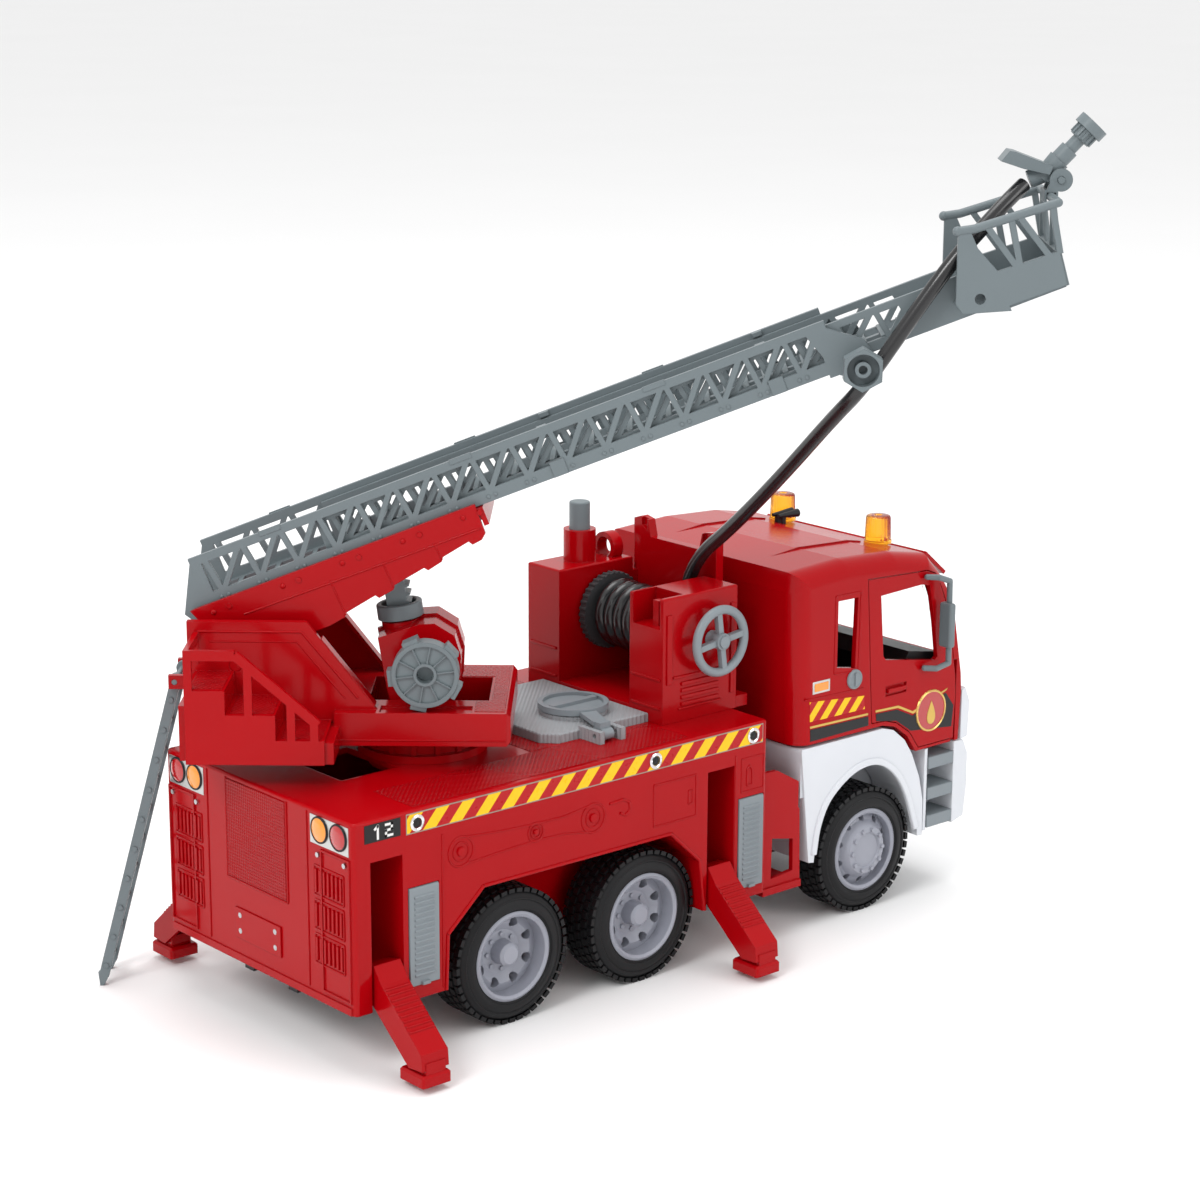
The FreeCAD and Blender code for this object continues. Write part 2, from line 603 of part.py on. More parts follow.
def along_axis_top(edge, half):
    box = edge.BoundBox
    on_side = abs(abs(box.YMin) - half) < 0.01 and box.YLength < 0.01
    return on_side and box.ZMin > 148.0


def grown(points, amount):
    """An outline moved outwards by amount."""
    wire = Part.makePolygon([Vec(x, 0, z) for x, z in points] + [Vec(points[0][0], 0, points[0][1])])
    moved = wire.makeOffset2D(amount, 2)
    return [(v.Point.x, v.Point.z) for v in moved.OrderedVertexes]


def cab_shell():
    outer = cab_block(CAB_SIDE, CAB_HALF, ROOF_ROUND)
    inner = cab_block(CAB_INNER, CAB_HALF - 2.4, ROOF_ROUND - 2.4)
    shell = outer.cut(inner)
    doorway = slab_xz(grown(DOOR_EDGE, 0.4), -CAB_HALF - 1, -CAB_HALF + 3)
    rear_window = slab_xz(((256, 114.4), (267, 112.4), (268.0, 143.4), (256, 143.6)), -CAB_HALF - 1, -CAB_HALF + 3)
    screen = slab_yz(((-50, 106), (50, 106), (47, 147.5), (-47, 147.5)), 314.0, 340.0)
    grille = slab_yz(((-34, 72), (34, 72), (34, 94), (-34, 94)), 330.5, 340.0)
    hinge_groove = rod((330.4, -CAB_HALF + 0.6, 67.0), (330.4, -CAB_HALF + 0.6, 105.0), 1.4)
    cuts = pair(doorway) + pair(rear_window) + pair(hinge_groove) + [screen, grille]
    shell = shell.cut(fuse(cuts))
    ribs = []
    for y in (-30, 30):
        top = slab_xz(((240, 158.8), (262, 160.9), (292, 159.5), (300, 158.0), (300, 157.0), (262, 159.0), (240, 157.0)),
                      y - 0.6, y + 0.6)
        ribs.append(top)
    return fuse([shell] + ribs)


def cab_door():
    """The right-hand door, hinged at its front edge."""
    door = slab_xz(DOOR_EDGE, -CAB_HALF, -CAB_HALF + 2.2)
    door = door.cut(slab_xz(DOOR_WINDOW, -CAB_HALF - 1, -CAB_HALF + 3))
    recess = block(286.5, 299.5, -CAB_HALF - 1, -CAB_HALF + 0.9, 96.0, 100.6)
    grip = block(287.5, 298.5, -CAB_HALF - 0.9, -CAB_HALF + 1.2, 97.4, 99.2)
    sockets = [rod((MIRROR_CLIP[0], -CAB_HALF + 0.5, z), (MIRROR_CLIP[0], MIRROR_CLIP[1] + 1.6, z), 2.0) for z in (146.2, 105.2)]
    return fuse([door.cut(recess), grip] + sockets)


LOWER_SIDE = ((236.0, 80.2), (241.4, 30.2), (244.6, 29.6), (246.4, 44.0), (256.0, 60.0), (269.0, 67.2), (282.7, 68.2),
              (294.4, 62.0), (303.2, 50.0), (308.4, 36.0), (309.4, 27.6), (312.6, 27.4), (312.2, 44.0), (309.6, 55.0),
              (304.4, 66.6), (299.4, 74.0), (292.2, 79.8), (285.6, 81.8), (236.0, 81.8))


def cab_lower():
    """The white fenders, bumper and the box behind the steps, in one moulding."""
    fender = slab_xz(LOWER_SIDE, -CAB_HALF, -38.0)
    inside = slab_xz(((245, 33), (254, 57), (268, 66), (283, 66.8), (292, 61), (301, 49), (307.6, 31), (305, 25), (247, 25)),
                     -62.0, -40.0)
    fender = fender.cut(inside)
    roof = block(238.0, 330.0, -60.0, 60.0, 78.6, 81.6).cut(block(284.0, 331.0, -61, 61, 70.0, 83.0))
    riser = block(313.2, 315.0, -CAB_HALF + 0.4, -30.0, 29.0, 66.9)
    wall = block(313.2, 331.6, -47.0, -45.0, 29.0, 66.9)
    outline = ((331.6, 29.0), (339.0, 31.0), (340.6, 44.0), (340.6, 60.0), (337.6, 66.6), (331.6, 66.9))
    bumper = slab_xz(outline, -CAB_HALF, CAB_HALF)
    front = bumper.cut(block(333.6, 345, -30, 30, 40, 56))
    corner = slab_xz(((335.8, 67.2), (340.2, 68.0), (341.0, 84.0), (338.0, 91.0), (335.8, 90.0)), -CAB_HALF, -CAB_HALF + 14)
    tie = block(236.5, 331.6, -36.0, -34.0, 34.4, 66.0)
    ties = pair(tie.cut(rod((WHEEL_X[2], -40, TYRE_RADIUS), (WHEEL_X[2], -30, TYRE_RADIUS), 8.0)))
    back = block(236.5, 238.5, -60.0, 60.0, 60.0, 80.0)
    sides = []
    for piece in (fender, riser, wall, corner):
        sides += pair(piece)
    pockets = pair(block(334.6, 345.0, -55.0, -38.0, 43.0, 58.0))
    lower = fuse([front, roof, back] + sides + ties)
    return lower.cut(fuse(pockets))


def cab_steps():
    treads = []
    for z in (62.6, 48.4, 35.4):
        step = block(315.3, 331.3, -CAB_HALF + 0.2, -47.3, z - 1.6, z)
        lip = block(315.3, 331.3, -CAB_HALF - 0.2, -CAB_HALF + 1.4, z - 5.4, z)
        treads += pair(fuse([step, lip]))
    spine = block(315.3, 317.0, -58.0, -47.3, 30.0, 62.6)
    frames = []
    for side in (0, 1):
        frames.append(fuse([t for t in treads[side::2]] + [pair(spine)[side]]))
    return group(frames)


def windscreen():
    outline = ((313.4, 150.4), (316.2, 147.2), (325.0, 127.4), (330.4, 104.0), (329.0, 104.0), (323.7, 127.0),
               (315.0, 146.6), (312.4, 149.6))
    return slab_xz(outline, -51.0, 51.0)


def cab_interior():
    """Seats on a floor, and a dashboard shelf, in black."""
    floor = block(237.0, 306.0, -57.0, 57.0, 86.0, 88.0)
    pieces = [floor]
    for y in (-32.0, 32.0):
        cushion = rounded(block(268.0, 292.0, y - 15, y + 15, 88.0, 98.0), 2.5, lambda e: e.BoundBox.ZMin > 97.9)
        back = slab_xz(((262, 96), (269, 96), (265, 134), (259, 134)), y - 14, y + 14)
        back = rounded(back, 2.0, lambda e: e.BoundBox.ZMin > 130)
        pieces += [cushion, back]
    bench = block(240.0, 254.0, -50.0, 50.0, 88.0, 104.0)
    shelf = slab_xz(((304, 88), (306, 88), (309, 104), (324, 102), (323, 109), (306, 112), (302, 106)), -56.0, 56.0)
    return fuse(pieces + [bench, shelf])


def steering_wheel():
    ring = Part.makeTorus(8.5, 1.0, Vec(0, 0, 0), Vec(0, 0, 1))
    hub = rod((0, 0, -1.2), (0, 0, 1.2), 2.6)
    spokes = [block(0, 8.2, -0.8, 0.8, -0.6, 0.6) for _ in range(3)]
    for k, spoke in enumerate(spokes):
        spoke.rotate(Vec(0, 0, 0), Vec(0, 0, 1), 120 * k + 90)
    column = rod((0, 0, -9.0), (0, 0, 0), 1.4)
    wheel = fuse([ring, hub, column] + spokes)
    wheel.rotate(Vec(0, 0, 0), Vec(0, 1, 0), -55)
    wheel.translate(Vec(297.0, 32.0, 112.5))
    return wheel


def sun_visor():
    outline = ((320.4, 151.8), (333.4, 141.4), (334.6, 142.6), (321.6, 153.4))
    blade = slab_xz(outline, -50.0, 50.0)
    arms = pair(slab_xz(((318.6, 150.9), (321.8, 148.3), (325.0, 149.6), (321.0, 153.0)), -46.0, -43.5))
    return fuse([blade] + arms)


MIRROR_CLIP = (309.0, -62.6)


def mirror_right():
    """A tubular loop that turns on two clips on the door, with its mirror plate."""
    x, y = MIRROR_CLIP
    out = y - 3.9
    line = ((x, y, 146.2), (x + 3.4, out, 146.2), (x + 10.2, out, 143.6), (x + 11.0, out, 106.4), (x + 3.4, out, 105.2),
            (x, y, 105.2))
    loop = []
    for start, end in zip(line, line[1:]):
        loop.append(rod(start, end, 1.3))
        loop.append(Part.makeSphere(1.3, Vec(*end)))
    loop.append(Part.makeSphere(1.3, Vec(*line[0])))
    plate = block(x + 7.4, x + 11.2, out - 3.6, out + 3.4, 114.0, 134.0)
    plate = rounded(plate, 1.2, lambda e: True)
    return fuse(loop + [plate])


BEACON_AT = ((311.5, -30.0), (311.5, 30.0))


def beacons():
    lenses = []
    for x, y in BEACON_AT:
        base = rod((x, y, 156.4), (x, y, 159.0), 6.2)
        lens = cone((x, y, 158.9), (x, y, 168.0), 6.0, 5.4)
        lens = rounded(lens, 0.9, lambda e: e.BoundBox.ZMin > 167.9)
        lenses.append(fuse([base, lens]))
    seat = cab_block(CAB_SIDE, CAB_HALF, ROOF_ROUND)
    return group([lens.cut(seat) for lens in lenses])


def air_horns():
    horns = []
    for y in (17.0, 20.6):
        trumpet = cone((296.0, y, 161.4), (308.0, y, 161.4), 0.8, 1.9)
        foot = block(298.0, 300.0, y - 0.8, y + 0.8, 156.0, 161.4)
        horns += [trumpet, foot]
    bar = block(298.0, 300.0, 16.2, 21.4, 159.6, 160.6)
    seat = cab_block(CAB_SIDE, CAB_HALF, ROOF_ROUND)
    return fuse(horns + [bar]).cut(seat)


def headlamps():
    lamp = block(335.0, 340.0, -54.7, -38.3, 43.3, 57.7)
    lamp = rounded(lamp, 1.4, lambda e: along_axis(e, Vec(1, 0, 0)))
    return group(pair(lamp))


def front_grille():
    frame = slab_yz(((-33.6, 72.4), (33.6, 72.4), (33.6, 93.6), (-33.6, 93.6)), 331.4, 334.4)
    windows = [block(330, 336, -31.0, 31.0, z, z + 2.6) for z in (75.4, 80.2, 85.0, 89.4)]
    back = block(331.4, 332.2, -33.0, 33.0, 73.0, 93.0)
    return fuse([frame.cut(fuse(windows)), back])


def step_brackets():
    """The red stepped brackets with a window, between the body and the cab."""
    outline = ((215.0, 76.0), (222.0, 75.6), (234.6, 68.4), (234.6, 57.0), (235.4, 56.0), (236.2, 24.4), (215.0, 22.4))
    plate = slab_xz(outline, -CAB_HALF, -CAB_HALF + 2.2)
    plate = plate.cut(slab_xz(((219.4, 46.0), (231.6, 43.4), (231.8, 29.2), (219.0, 28.0)), -62, -58))
    shelf = slab_xz(((215.0, 56.0), (234.4, 54.8), (234.4, 56.8), (215.0, 58.0)), -CAB_HALF, -40.0)
    foot = block(213.4, 236.0, -CAB_HALF - 1.0, -40.0, 21.4, 24.6)
    back = block(213.4, 215.2, -CAB_HALF, -40.0, 22.4, 76.0)
    return group(pair(fuse([plate, shelf, foot, back])))


def body_screws():
    screws = []
    for y in (41.4, 58.4):
        screws += pair(rod((-0.9, y, 83.4), (0, y, 83.4), 1.0))
    for y, z in ((-12.0, 37.5), (12.0, 37.5), (-12.0, 44.0), (12.0, 44.0)):
        screws.append(rod((-0.8, y, z), (0, y, z), 1.1))
    return group(screws)


# ---- turntable -----------------------------------------------------------------------------
WELL_REAR = -19.5
WELL_FRONT = 28.0
WELL_HALF = 17.0


def turntable_deck():
    outer = block(-31.5, TABLE_FRONT, -TABLE_HALF, TABLE_HALF, TABLE_BOTTOM, TABLE_TOP)
    outer = outer.makeChamfer(1.6, [e for e in outer.Edges if e.BoundBox.XMin > TABLE_FRONT - 0.01])
    hollow = block(-29.0, TABLE_FRONT - 2.4, -TABLE_HALF + 2.2, TABLE_HALF - 2.2, TABLE_BOTTOM + 2.2, TABLE_TOP - 2.2)
    well_box = block(WELL_REAR - THIN, WELL_FRONT + THIN, -WELL_HALF - THIN, WELL_HALF + THIN,
                     TABLE_BOTTOM + 1, TABLE_TOP - 1)
    well = block(WELL_REAR, WELL_FRONT, -WELL_HALF, WELL_HALF, TABLE_BOTTOM + 2.2, TABLE_TOP + 1)
    knob_relief = block(-14.0, 22.0, -34.4, -25.0, TABLE_TOP - 0.9, TABLE_TOP + 1)
    return fuse([outer.cut(hollow), well_box]).cut(fuse([well, knob_relief]))


def panel():
    """The right-hand side panel with its rolled edges."""
    outline = ((TABLE_REAR, TABLE_BOTTOM), (TABLE_REAR, PANEL_TOP), (-41.9, PANEL_TOP), (-15.2, TABLE_TOP),
               (-15.2, TABLE_BOTTOM))
    plate = slab_xz(outline, -PANEL_B, -PANEL_B + 2.2)
    top = block(TABLE_REAR, -42.5, -PANEL_B, -PANEL_B + 3.4, PANEL_TOP - 1.2, PANEL_TOP)
    slope = strip((-37.0, 152.2), (-16.4, 125.4), 1.6, -PANEL_B + 0.5, -PANEL_B + 6.4)
    boss = rod((BOOM_PIN_A, -PANEL_B + 0.5, BOOM_PIN_Z), (BOOM_PIN_A, -23.0, BOOM_PIN_Z), 5.0)
    panel_body = fuse([plate, top, slope, boss])
    return panel_body.cut(rod((BOOM_PIN_A, -40, BOOM_PIN_Z), (BOOM_PIN_A, -20, BOOM_PIN_Z), 2.5 + FIT))


STEP_TOPS = ((STAIR_REAR, 139.8), (-70.5, 130.2), (-51.4, 120.2))


def stair():
    """The right-hand stair box: three treads, an outer wall and a handrail on posts."""
    wall_line = ((STAIR_REAR, TABLE_BOTTOM), (STAIR_REAR, 139.8), (-70.5, 139.8), (-70.5, 130.2), (-51.4, 130.2),
                 (-51.4, 120.2), (STAIR_FRONT, 120.2), (STAIR_FRONT, TABLE_BOTTOM))
    box = slab_xz(wall_line, -STAIR_B, -PANEL_B)
    inner_line = ((STAIR_REAR + 2, TABLE_BOTTOM - 1), (STAIR_REAR + 2, 137.8), (-72.5, 137.8), (-72.5, 128.2),
                  (-53.4, 128.2), (-53.4, 118.2), (STAIR_FRONT - 2, 118.2), (STAIR_FRONT - 2, TABLE_BOTTOM - 1))
    box = box.cut(slab_xz(inner_line, -STAIR_B + 2, -PANEL_B - 2))
    floor = block(STAIR_REAR, STAIR_FRONT, -STAIR_B, -PANEL_B, TABLE_BOTTOM - 0.6, TABLE_BOTTOM + 1.4)
    y0, y1 = -STAIR_B, -STAIR_B + 2.0
    rails = [strip((STAIR_REAR, 153.6), (-66.4, 153.6), 4.0, y0, y1)]
    rails.append(strip((-66.6, 154.0), (-35.2, 126.4), 3.6, y0, y1))
    for a, top in ((-84.4, 153.0), (-61.6, 149.0), (-45.4, 134.6), (-36.6, 127.0)):
        rails.append(block(a - 1.6, a + 1.6, y0, y1, TABLE_BOTTOM + 2, top))
    rear = block(STAIR_REAR, STAIR_REAR + 2.0, -STAIR_B, -PANEL_B, 151.6, 155.6)
    back_wall = block(TABLE_REAR, STAIR_REAR + 0.5, -STAIR_B, -PANEL_B, TABLE_BOTTOM, 133.0)
    back_wall = back_wall.cut(block(TABLE_REAR - 1, STAIR_REAR, -STAIR_B - 1, -STAIR_B + 3, 100, 140))
    edge = block(STAIR_FRONT - 1, -29.4, -STAIR_B + 1.5, -PANEL_B, TABLE_BOTTOM - 0.6, 119.0)
    return fuse([box, floor, rear, back_wall, edge] + rails)


def turntable_base():
    rear_floor = block(TABLE_REAR, -30.0, -PANEL_B, PANEL_B, TABLE_BOTTOM, TABLE_BOTTOM + 2.2)
    rear_wall = block(TABLE_REAR, TABLE_REAR + 2.0, -PANEL_B, PANEL_B, TABLE_BOTTOM, 133.0)
    cross = block(-31.5, -29.3, -PANEL_B, PANEL_B, TABLE_BOTTOM, TABLE_TOP)
    bearing = tube((0, 0, TABLE_BOTTOM), (0, 0, TABLE_BOTTOM + 2.2), HUB_BORE + 4.0, HUB_BORE + 1.6)
    base = fuse([turntable_deck(), rear_floor, rear_wall, cross, bearing] + pair(panel()) + pair(stair()))
    base = base.cut(rod((0, 0, TABLE_BOTTOM - 1), (0, 0, TABLE_BOTTOM + 3), HUB_BORE + 1.6))
    ears = []
    for b in (-21.5, 21.5):
        ears.append(block(LIFT_A - 5.0, LIFT_A + 5.0, b - 1.6, b + 1.6, TABLE_TOP - 1, LIFT_Z + 1.5))
        ears.append(rod((LIFT_A, b - 1.6, LIFT_Z), (LIFT_A, b + 1.6, LIFT_Z), 6.0))
    base = fuse([base] + ears)
    base = base.cut(rod((LIFT_A, -40, LIFT_Z), (LIFT_A, 40, LIFT_Z), 3.0 + FIT))
    hooks = []
    for b in (-12.4, 12.4):
        lug = block(-99.4, TABLE_REAR + 1, b - 1.2, b + 1.2, 127.2, 132.8)
        hooks.append(lug)
    base = fuse([base] + hooks)
    return base.cut(rod((REAR_LADDER_TOP[0], -20, REAR_LADDER_TOP[1]), (REAR_LADDER_TOP[0], 20, REAR_LADDER_TOP[1]),
                        1.1 + FIT))


def swivel_hub():
    """The pivot that clips through the deck, with its retaining washer below."""
    stem = tube((0, 0, DECK - 5.4), (0, 0, TABLE_BOTTOM), HUB_BORE + 3.6, HUB_BORE)
    washer = tube((0, 0, DECK - 5.4), (0, 0, DECK - WALL - GAP), HUB_BORE + 7.2, HUB_BORE)
    spigot = tube((0, 0, DECK), (0, 0, TABLE_BOTTOM + 2.2), HUB_BORE + 1.6, HUB_BORE)
    return fuse([stem, washer, spigot])


# ---- rear access ladder --------------------------------------------------------------------
REAR_LADDER_TOP = (-97.0, 130.0)
REAR_LADDER_FOOT = (-131.4, 0.6)


def rear_ladder():
    half = 10.4
    rails = []
    for b in (-half, half - 2.4):
        rails.append(strip(REAR_LADDER_TOP, (-130.4, 4.2), 4.0, b, b + 2.4))
        rails.append(rod((REAR_LADDER_TOP[0], b, REAR_LADDER_TOP[1]), (REAR_LADDER_TOP[0], b + 2.4, REAR_LADDER_TOP[1]), 2.6))
        foot = ((-132.6, 5.8), (-128.2, 4.6), (-130.4, 0.0), (-132.0, 0.0))
        rails.append(slab_xz(foot, b, b + 2.4))
    rungs = []
    for k in range(10):
        share = (k + 0.65) / 10.3
        a = REAR_LADDER_TOP[0] + (REAR_LADDER_FOOT[0] - REAR_LADDER_TOP[0]) * share
        z = REAR_LADDER_TOP[1] + (REAR_LADDER_FOOT[1] - REAR_LADDER_TOP[1]) * share
        rungs.append(rod((a, -half - 0.5, z), (a, half + 0.5, z), 1.15))
    pin = rod((REAR_LADDER_TOP[0], -13.6, REAR_LADDER_TOP[1]), (REAR_LADDER_TOP[0], 13.6, REAR_LADDER_TOP[1]), 1.1)
    return fuse(rails + rungs + [pin])


# ---- boom: cradle and outer ladder ----------------------------------------------------------
CRADLE_SIDE = ((-88.6, 161.0), (-86.8, 161.9), (23.0, 204.6), (27.2, 193.2), (25.8, 190.6), (22.2, 188.6),
               (20.6, 189.8), (10.6, 183.6), (10.2, 181.8), (4.8, 178.2), (3.2, 179.2), (-8.4, 172.2), (-8.8, 170.4),
               (-14.4, 167.0), (-16.0, 168.0), (-27.4, 161.0), (-27.8, 159.3), (-34.0, 155.6), (-46.0, 151.0),
               (-64.0, 136.2), (-70.0, 134.6), (-76.4, 136.4), (-79.0, 142.0), (-84.0, 156.0))
CRADLE_HALF = 21.4


def boom_cradle():
    """A channel of two stepped side plates with a floor under the ladder, and its trunnions."""
    sides = pair(slab_xz(CRADLE_SIDE, -CRADLE_HALF, -CRADLE_HALF + 2.0))
    floor = on_ladder(block(6.0, 116.0, -CRADLE_HALF + 0.5, CRADLE_HALF - 0.5, -22.8, -20.8))
    front = on_ladder(block(114.0, 116.0, -CRADLE_HALF + 0.5, CRADLE_HALF - 0.5, -28.0, -20.8))
    webs = [on_ladder(block(s, s + 1.8, -CRADLE_HALF + 0.5, CRADLE_HALF - 0.5, -27.5, -22.0)) for s in (30.0, 100.0)]
    webs += pair(on_ladder(block(66.0, 80.0, -7.0, -4.9, -30.0, -22.0)))
    trunnions = pair(rod((BOOM_PIN_A, -PANEL_B + 0.2, BOOM_PIN_Z), (BOOM_PIN_A, -CRADLE_HALF + 0.5, BOOM_PIN_Z), 2.5))
    rivets = []
    for s in (9.0, 38.4, 63.8, 89.2, 114.4):
        a, _, z = ladder_to_table(s, 0, -22.2)
        rivets += pair(rod((a, -CRADLE_HALF - 0.5, z), (a, -CRADLE_HALF + 0.5, z), 1.1))
    return fuse(sides + [floor, front] + webs + trunnions + rivets)


def lattice_side(s0, s1, top, bottom, y0, y1, first, rail_top, rail_bottom):
    """One side of a ladder: two rails and V braces between them."""
    pieces = [block(s0, s1, y0, y1, top - rail_top, top), block(s0, s1, y0, y1, bottom, bottom + rail_bottom)]
    s = first
    upper = top - rail_top / 2
    lower = bottom + rail_bottom * 0.7
    while s + BRACE_AHEAD < s1 - 1:
        pieces.append(strip((s, lower), (s - BRACE_BACK, upper), BAR, y0, y1))
        pieces.append(strip((s, lower), (s + BRACE_AHEAD, upper), BAR, y0, y1))
        s += PITCH
    return pieces


def outer_ladder():
    y0, y1 = -OUTER_HALF, -OUTER_HALF + 2.2
    bottom = -OUTER_HEIGHT
    pieces = lattice_side(0, OUTER_LENGTH, 0, bottom, y0, y1, 8.2, 3.4, 5.0)
    pieces.append(block(0, 4.4, y0, y1, bottom, 0))
    pieces.append(block(OUTER_LENGTH - 5.0, OUTER_LENGTH, y0, y1, bottom - 1.4, 0))
    pieces.append(block(0, OUTER_LENGTH, y0, -11.6, bottom, bottom + 1.4))
    pieces.append(slab_xz(((0, -2), (4, -2), (4, bottom), (-2.4, -32.0), (-9.6, -20.0)), y0, y1))
    for s in (146.0, 236.0):
        pieces.append(block(s, s + 6.0, y0 - 0.5, y0 + 1, bottom + 0.0, bottom + 6.2))
        pieces.append(block(s, s + 4.0, y0 + 1.0, -13.0, -1.7, 0.0))
    gusset = ((OUTER_LENGTH - 9, -2.0), (OUTER_LENGTH - 3, -1.0), (276.0, -12.0), (278.4, -20.8), (274.6, -25.8),
              (268.4, -25.8), (OUTER_LENGTH - 2, bottom - 1))
    pieces.append(slab_xz(gusset, y0, y1 - 0.4))
    right = fuse(pieces)
    rungs = []
    s = 10.0
    while s < OUTER_LENGTH - 3:
        rungs.append(block(s, s + 2.2, -14.0, 14.0, bottom, bottom + 1.4))
        s += PITCH / 2
    ladder = fuse([right, flip(right)] + rungs)
    bore = rod((KNOB_S, -40, KNOB_N), (KNOB_S, 40, KNOB_N), KNOB_SHAFT + FIT)
    return on_ladder(ladder.cut(bore))


KNOB_S = 271.5
KNOB_N = -20.8
KNOB_SHAFT = 1.9
DRIVE_RADIUS = 3.1
DRIVE_TEETH = 7
DRIVE_PITCH = 2 * math.pi * DRIVE_RADIUS / DRIVE_TEETH


def pinion(radius, count, depth, half_width, phase):
    """A small spur gear about the Y axis, its teeth cut narrow so that they mesh with play."""
    gear = rod((0, -half_width, 0), (0, half_width, 0), radius - depth)
    teeth = []
    pitch = 2 * math.pi * radius / count
    low, high = radius - depth - 0.4, radius + depth * 0.8
    for k in range(count):
        outline = ((low, -0.24 * pitch), (high, -0.10 * pitch), (high, 0.10 * pitch), (low, 0.24 * pitch))
        tooth = slab_xz(outline, -half_width, half_width)
        tooth.rotate(Vec(0, 0, 0), Vec(0, 1, 0), 360.0 * k / count + phase)
        teeth.append(tooth)
    return fuse([gear] + teeth)


def extension_knob():
    """The hexagonal knob outside the right rail, on the shaft whose pinion drives the inner ladder."""
    corners = []
    for k in range(6):
        turn = math.radians(60 * k + 8)
        corners.append((8.4 * math.cos(turn), 8.4 * math.sin(turn)))
    prism = slab_xz(corners, -32.6, -25.0)
    cup = rod((0, -34.0, 0), (0, -27.0, 0), 6.2)
    hub = tube((0, -31.2, 0), (0, -26.6, 0), 3.1, 1.7)
    shaft = rod((0, -25.4, 0), (0, 19.8, 0), KNOB_SHAFT)
    head = rod((0, 18.0, 0), (0, 19.8, 0), 3.6)
    gear = pinion(DRIVE_RADIUS, DRIVE_TEETH, 0.9, 1.9, -90.0)
    knob = fuse([prism.cut(cup), hub, shaft, head, gear])
    knob.translate(Vec(KNOB_S, 0, KNOB_N))
    return on_ladder(knob)


# ---- inner ladder ---------------------------------------------------------------------------
BASKET_PIN = (322.0, -12.0)
RACK_START = 150.0


def rack():
    """A toothed strip along the middle of the inner ladder's underside."""
    pitch_line = KNOB_N + DRIVE_RADIUS
    tip, root, back = pitch_line - 0.7, pitch_line + 0.95, INNER_BOTTOM + 3.4
    first = math.floor((RACK_START - KNOB_S) / DRIVE_PITCH) + 0.5
    line = [(KNOB_S + (first - 0.5) * DRIVE_PITCH, root)]
    count = int((312.0 - RACK_START) / DRIVE_PITCH)
    for k in range(count):
        middle = KNOB_S + (first + k) * DRIVE_PITCH
        line += [(middle - 0.24 * DRIVE_PITCH, root), (middle - 0.10 * DRIVE_PITCH, tip)]
        line += [(middle + 0.10 * DRIVE_PITCH, tip), (middle + 0.24 * DRIVE_PITCH, root)]
    end = line[-1][0] + 1.0
    line += [(end, root), (end, back), (line[0][0], back)]
    return slab_xz(line, -1.9, 1.9)


def inner_ladder():
    y0, y1 = -INNER_HALF, -INNER_HALF + 2.2
    pieces = lattice_side(INNER_START, 316.0, INNER_TOP, INNER_BOTTOM, y0, y1, INNER_START + 9.0, 2.8, 4.0)
    pieces.append(block(INNER_START, INNER_START + 4, y0, y1, INNER_BOTTOM, INNER_TOP))
    plate = ((296.0, INNER_BOTTOM), (292.0, INNER_TOP), (318.0, INNER_TOP), (325.4, -8.5), (325.2, -14.4), (321.4, INNER_BOTTOM))
    pieces.append(slab_xz(plate, y0, y1))
    right = fuse(pieces)
    rungs = []
    s = INNER_START + 6
    while s < 318:
        rungs.append(block(s, s + 2.2, -13.6, 13.6, INNER_BOTTOM + 3.0, INNER_BOTTOM + 4.6))
        s += PITCH / 2
    ladder = fuse([right, flip(right), rack()] + rungs)
    pins = pair(rod((BASKET_PIN[0], -18.4, BASKET_PIN[1]), (BASKET_PIN[0], -INNER_HALF + 0.5, BASKET_PIN[1]), 2.0))
    return on_ladder(fuse([ladder] + pins))


# ---- basket and monitor ----------------------------------------------------------------------
BASKET_HALF = 26.0
BASKET_FLOOR = ((227.6, 283.0), (249.0, 291.6))


def basket_side_frame():
    """The basket's right side in the X-Z plane: plate, lower wall, rim and V braces."""
    y0, y1 = -BASKET_HALF, -BASKET_HALF + 2.0
    plate = ((205.8, 284.0), (208.6, 280.4), (224.2, 281.6), (227.0, 281.8), (221.0, 297.0), (213.4, 305.4), (210.4, 311.8),
             (205.8, 311.8))
    wall = ((222.0, 282.2), (247.6, 291.8), (244.2, 304.6), (219.0, 296.0))
    pieces = [slab_xz(plate, y0, y1), slab_xz(wall, y0, y1)]
    rim_line = ((205.6, 311.6), (212.0, 312.6), (243.0, 322.6))
    for start, end in zip(rim_line, rim_line[1:]):
        pieces.append(rod((start[0], y0 + 1.0, start[1]), (end[0], y0 + 1.0, end[1]), 1.7))
        pieces.append(Part.makeSphere(1.7, Vec(end[0], y0 + 1.0, end[1])))
    pieces.append(Part.makeSphere(1.9, Vec(rim_line[0][0], y0 + 1.0, rim_line[0][1])))
    for low, high in (((228.6, 298.0), (216.6, 313.6)), ((229.6, 298.4), (225.6, 316.6)),
                      ((240.6, 302.4), (228.4, 317.6)), ((244.4, 303.6), (240.8, 321.4))):
        pieces.append(strip(low, high, 2.4, y0, y1))
    return pieces


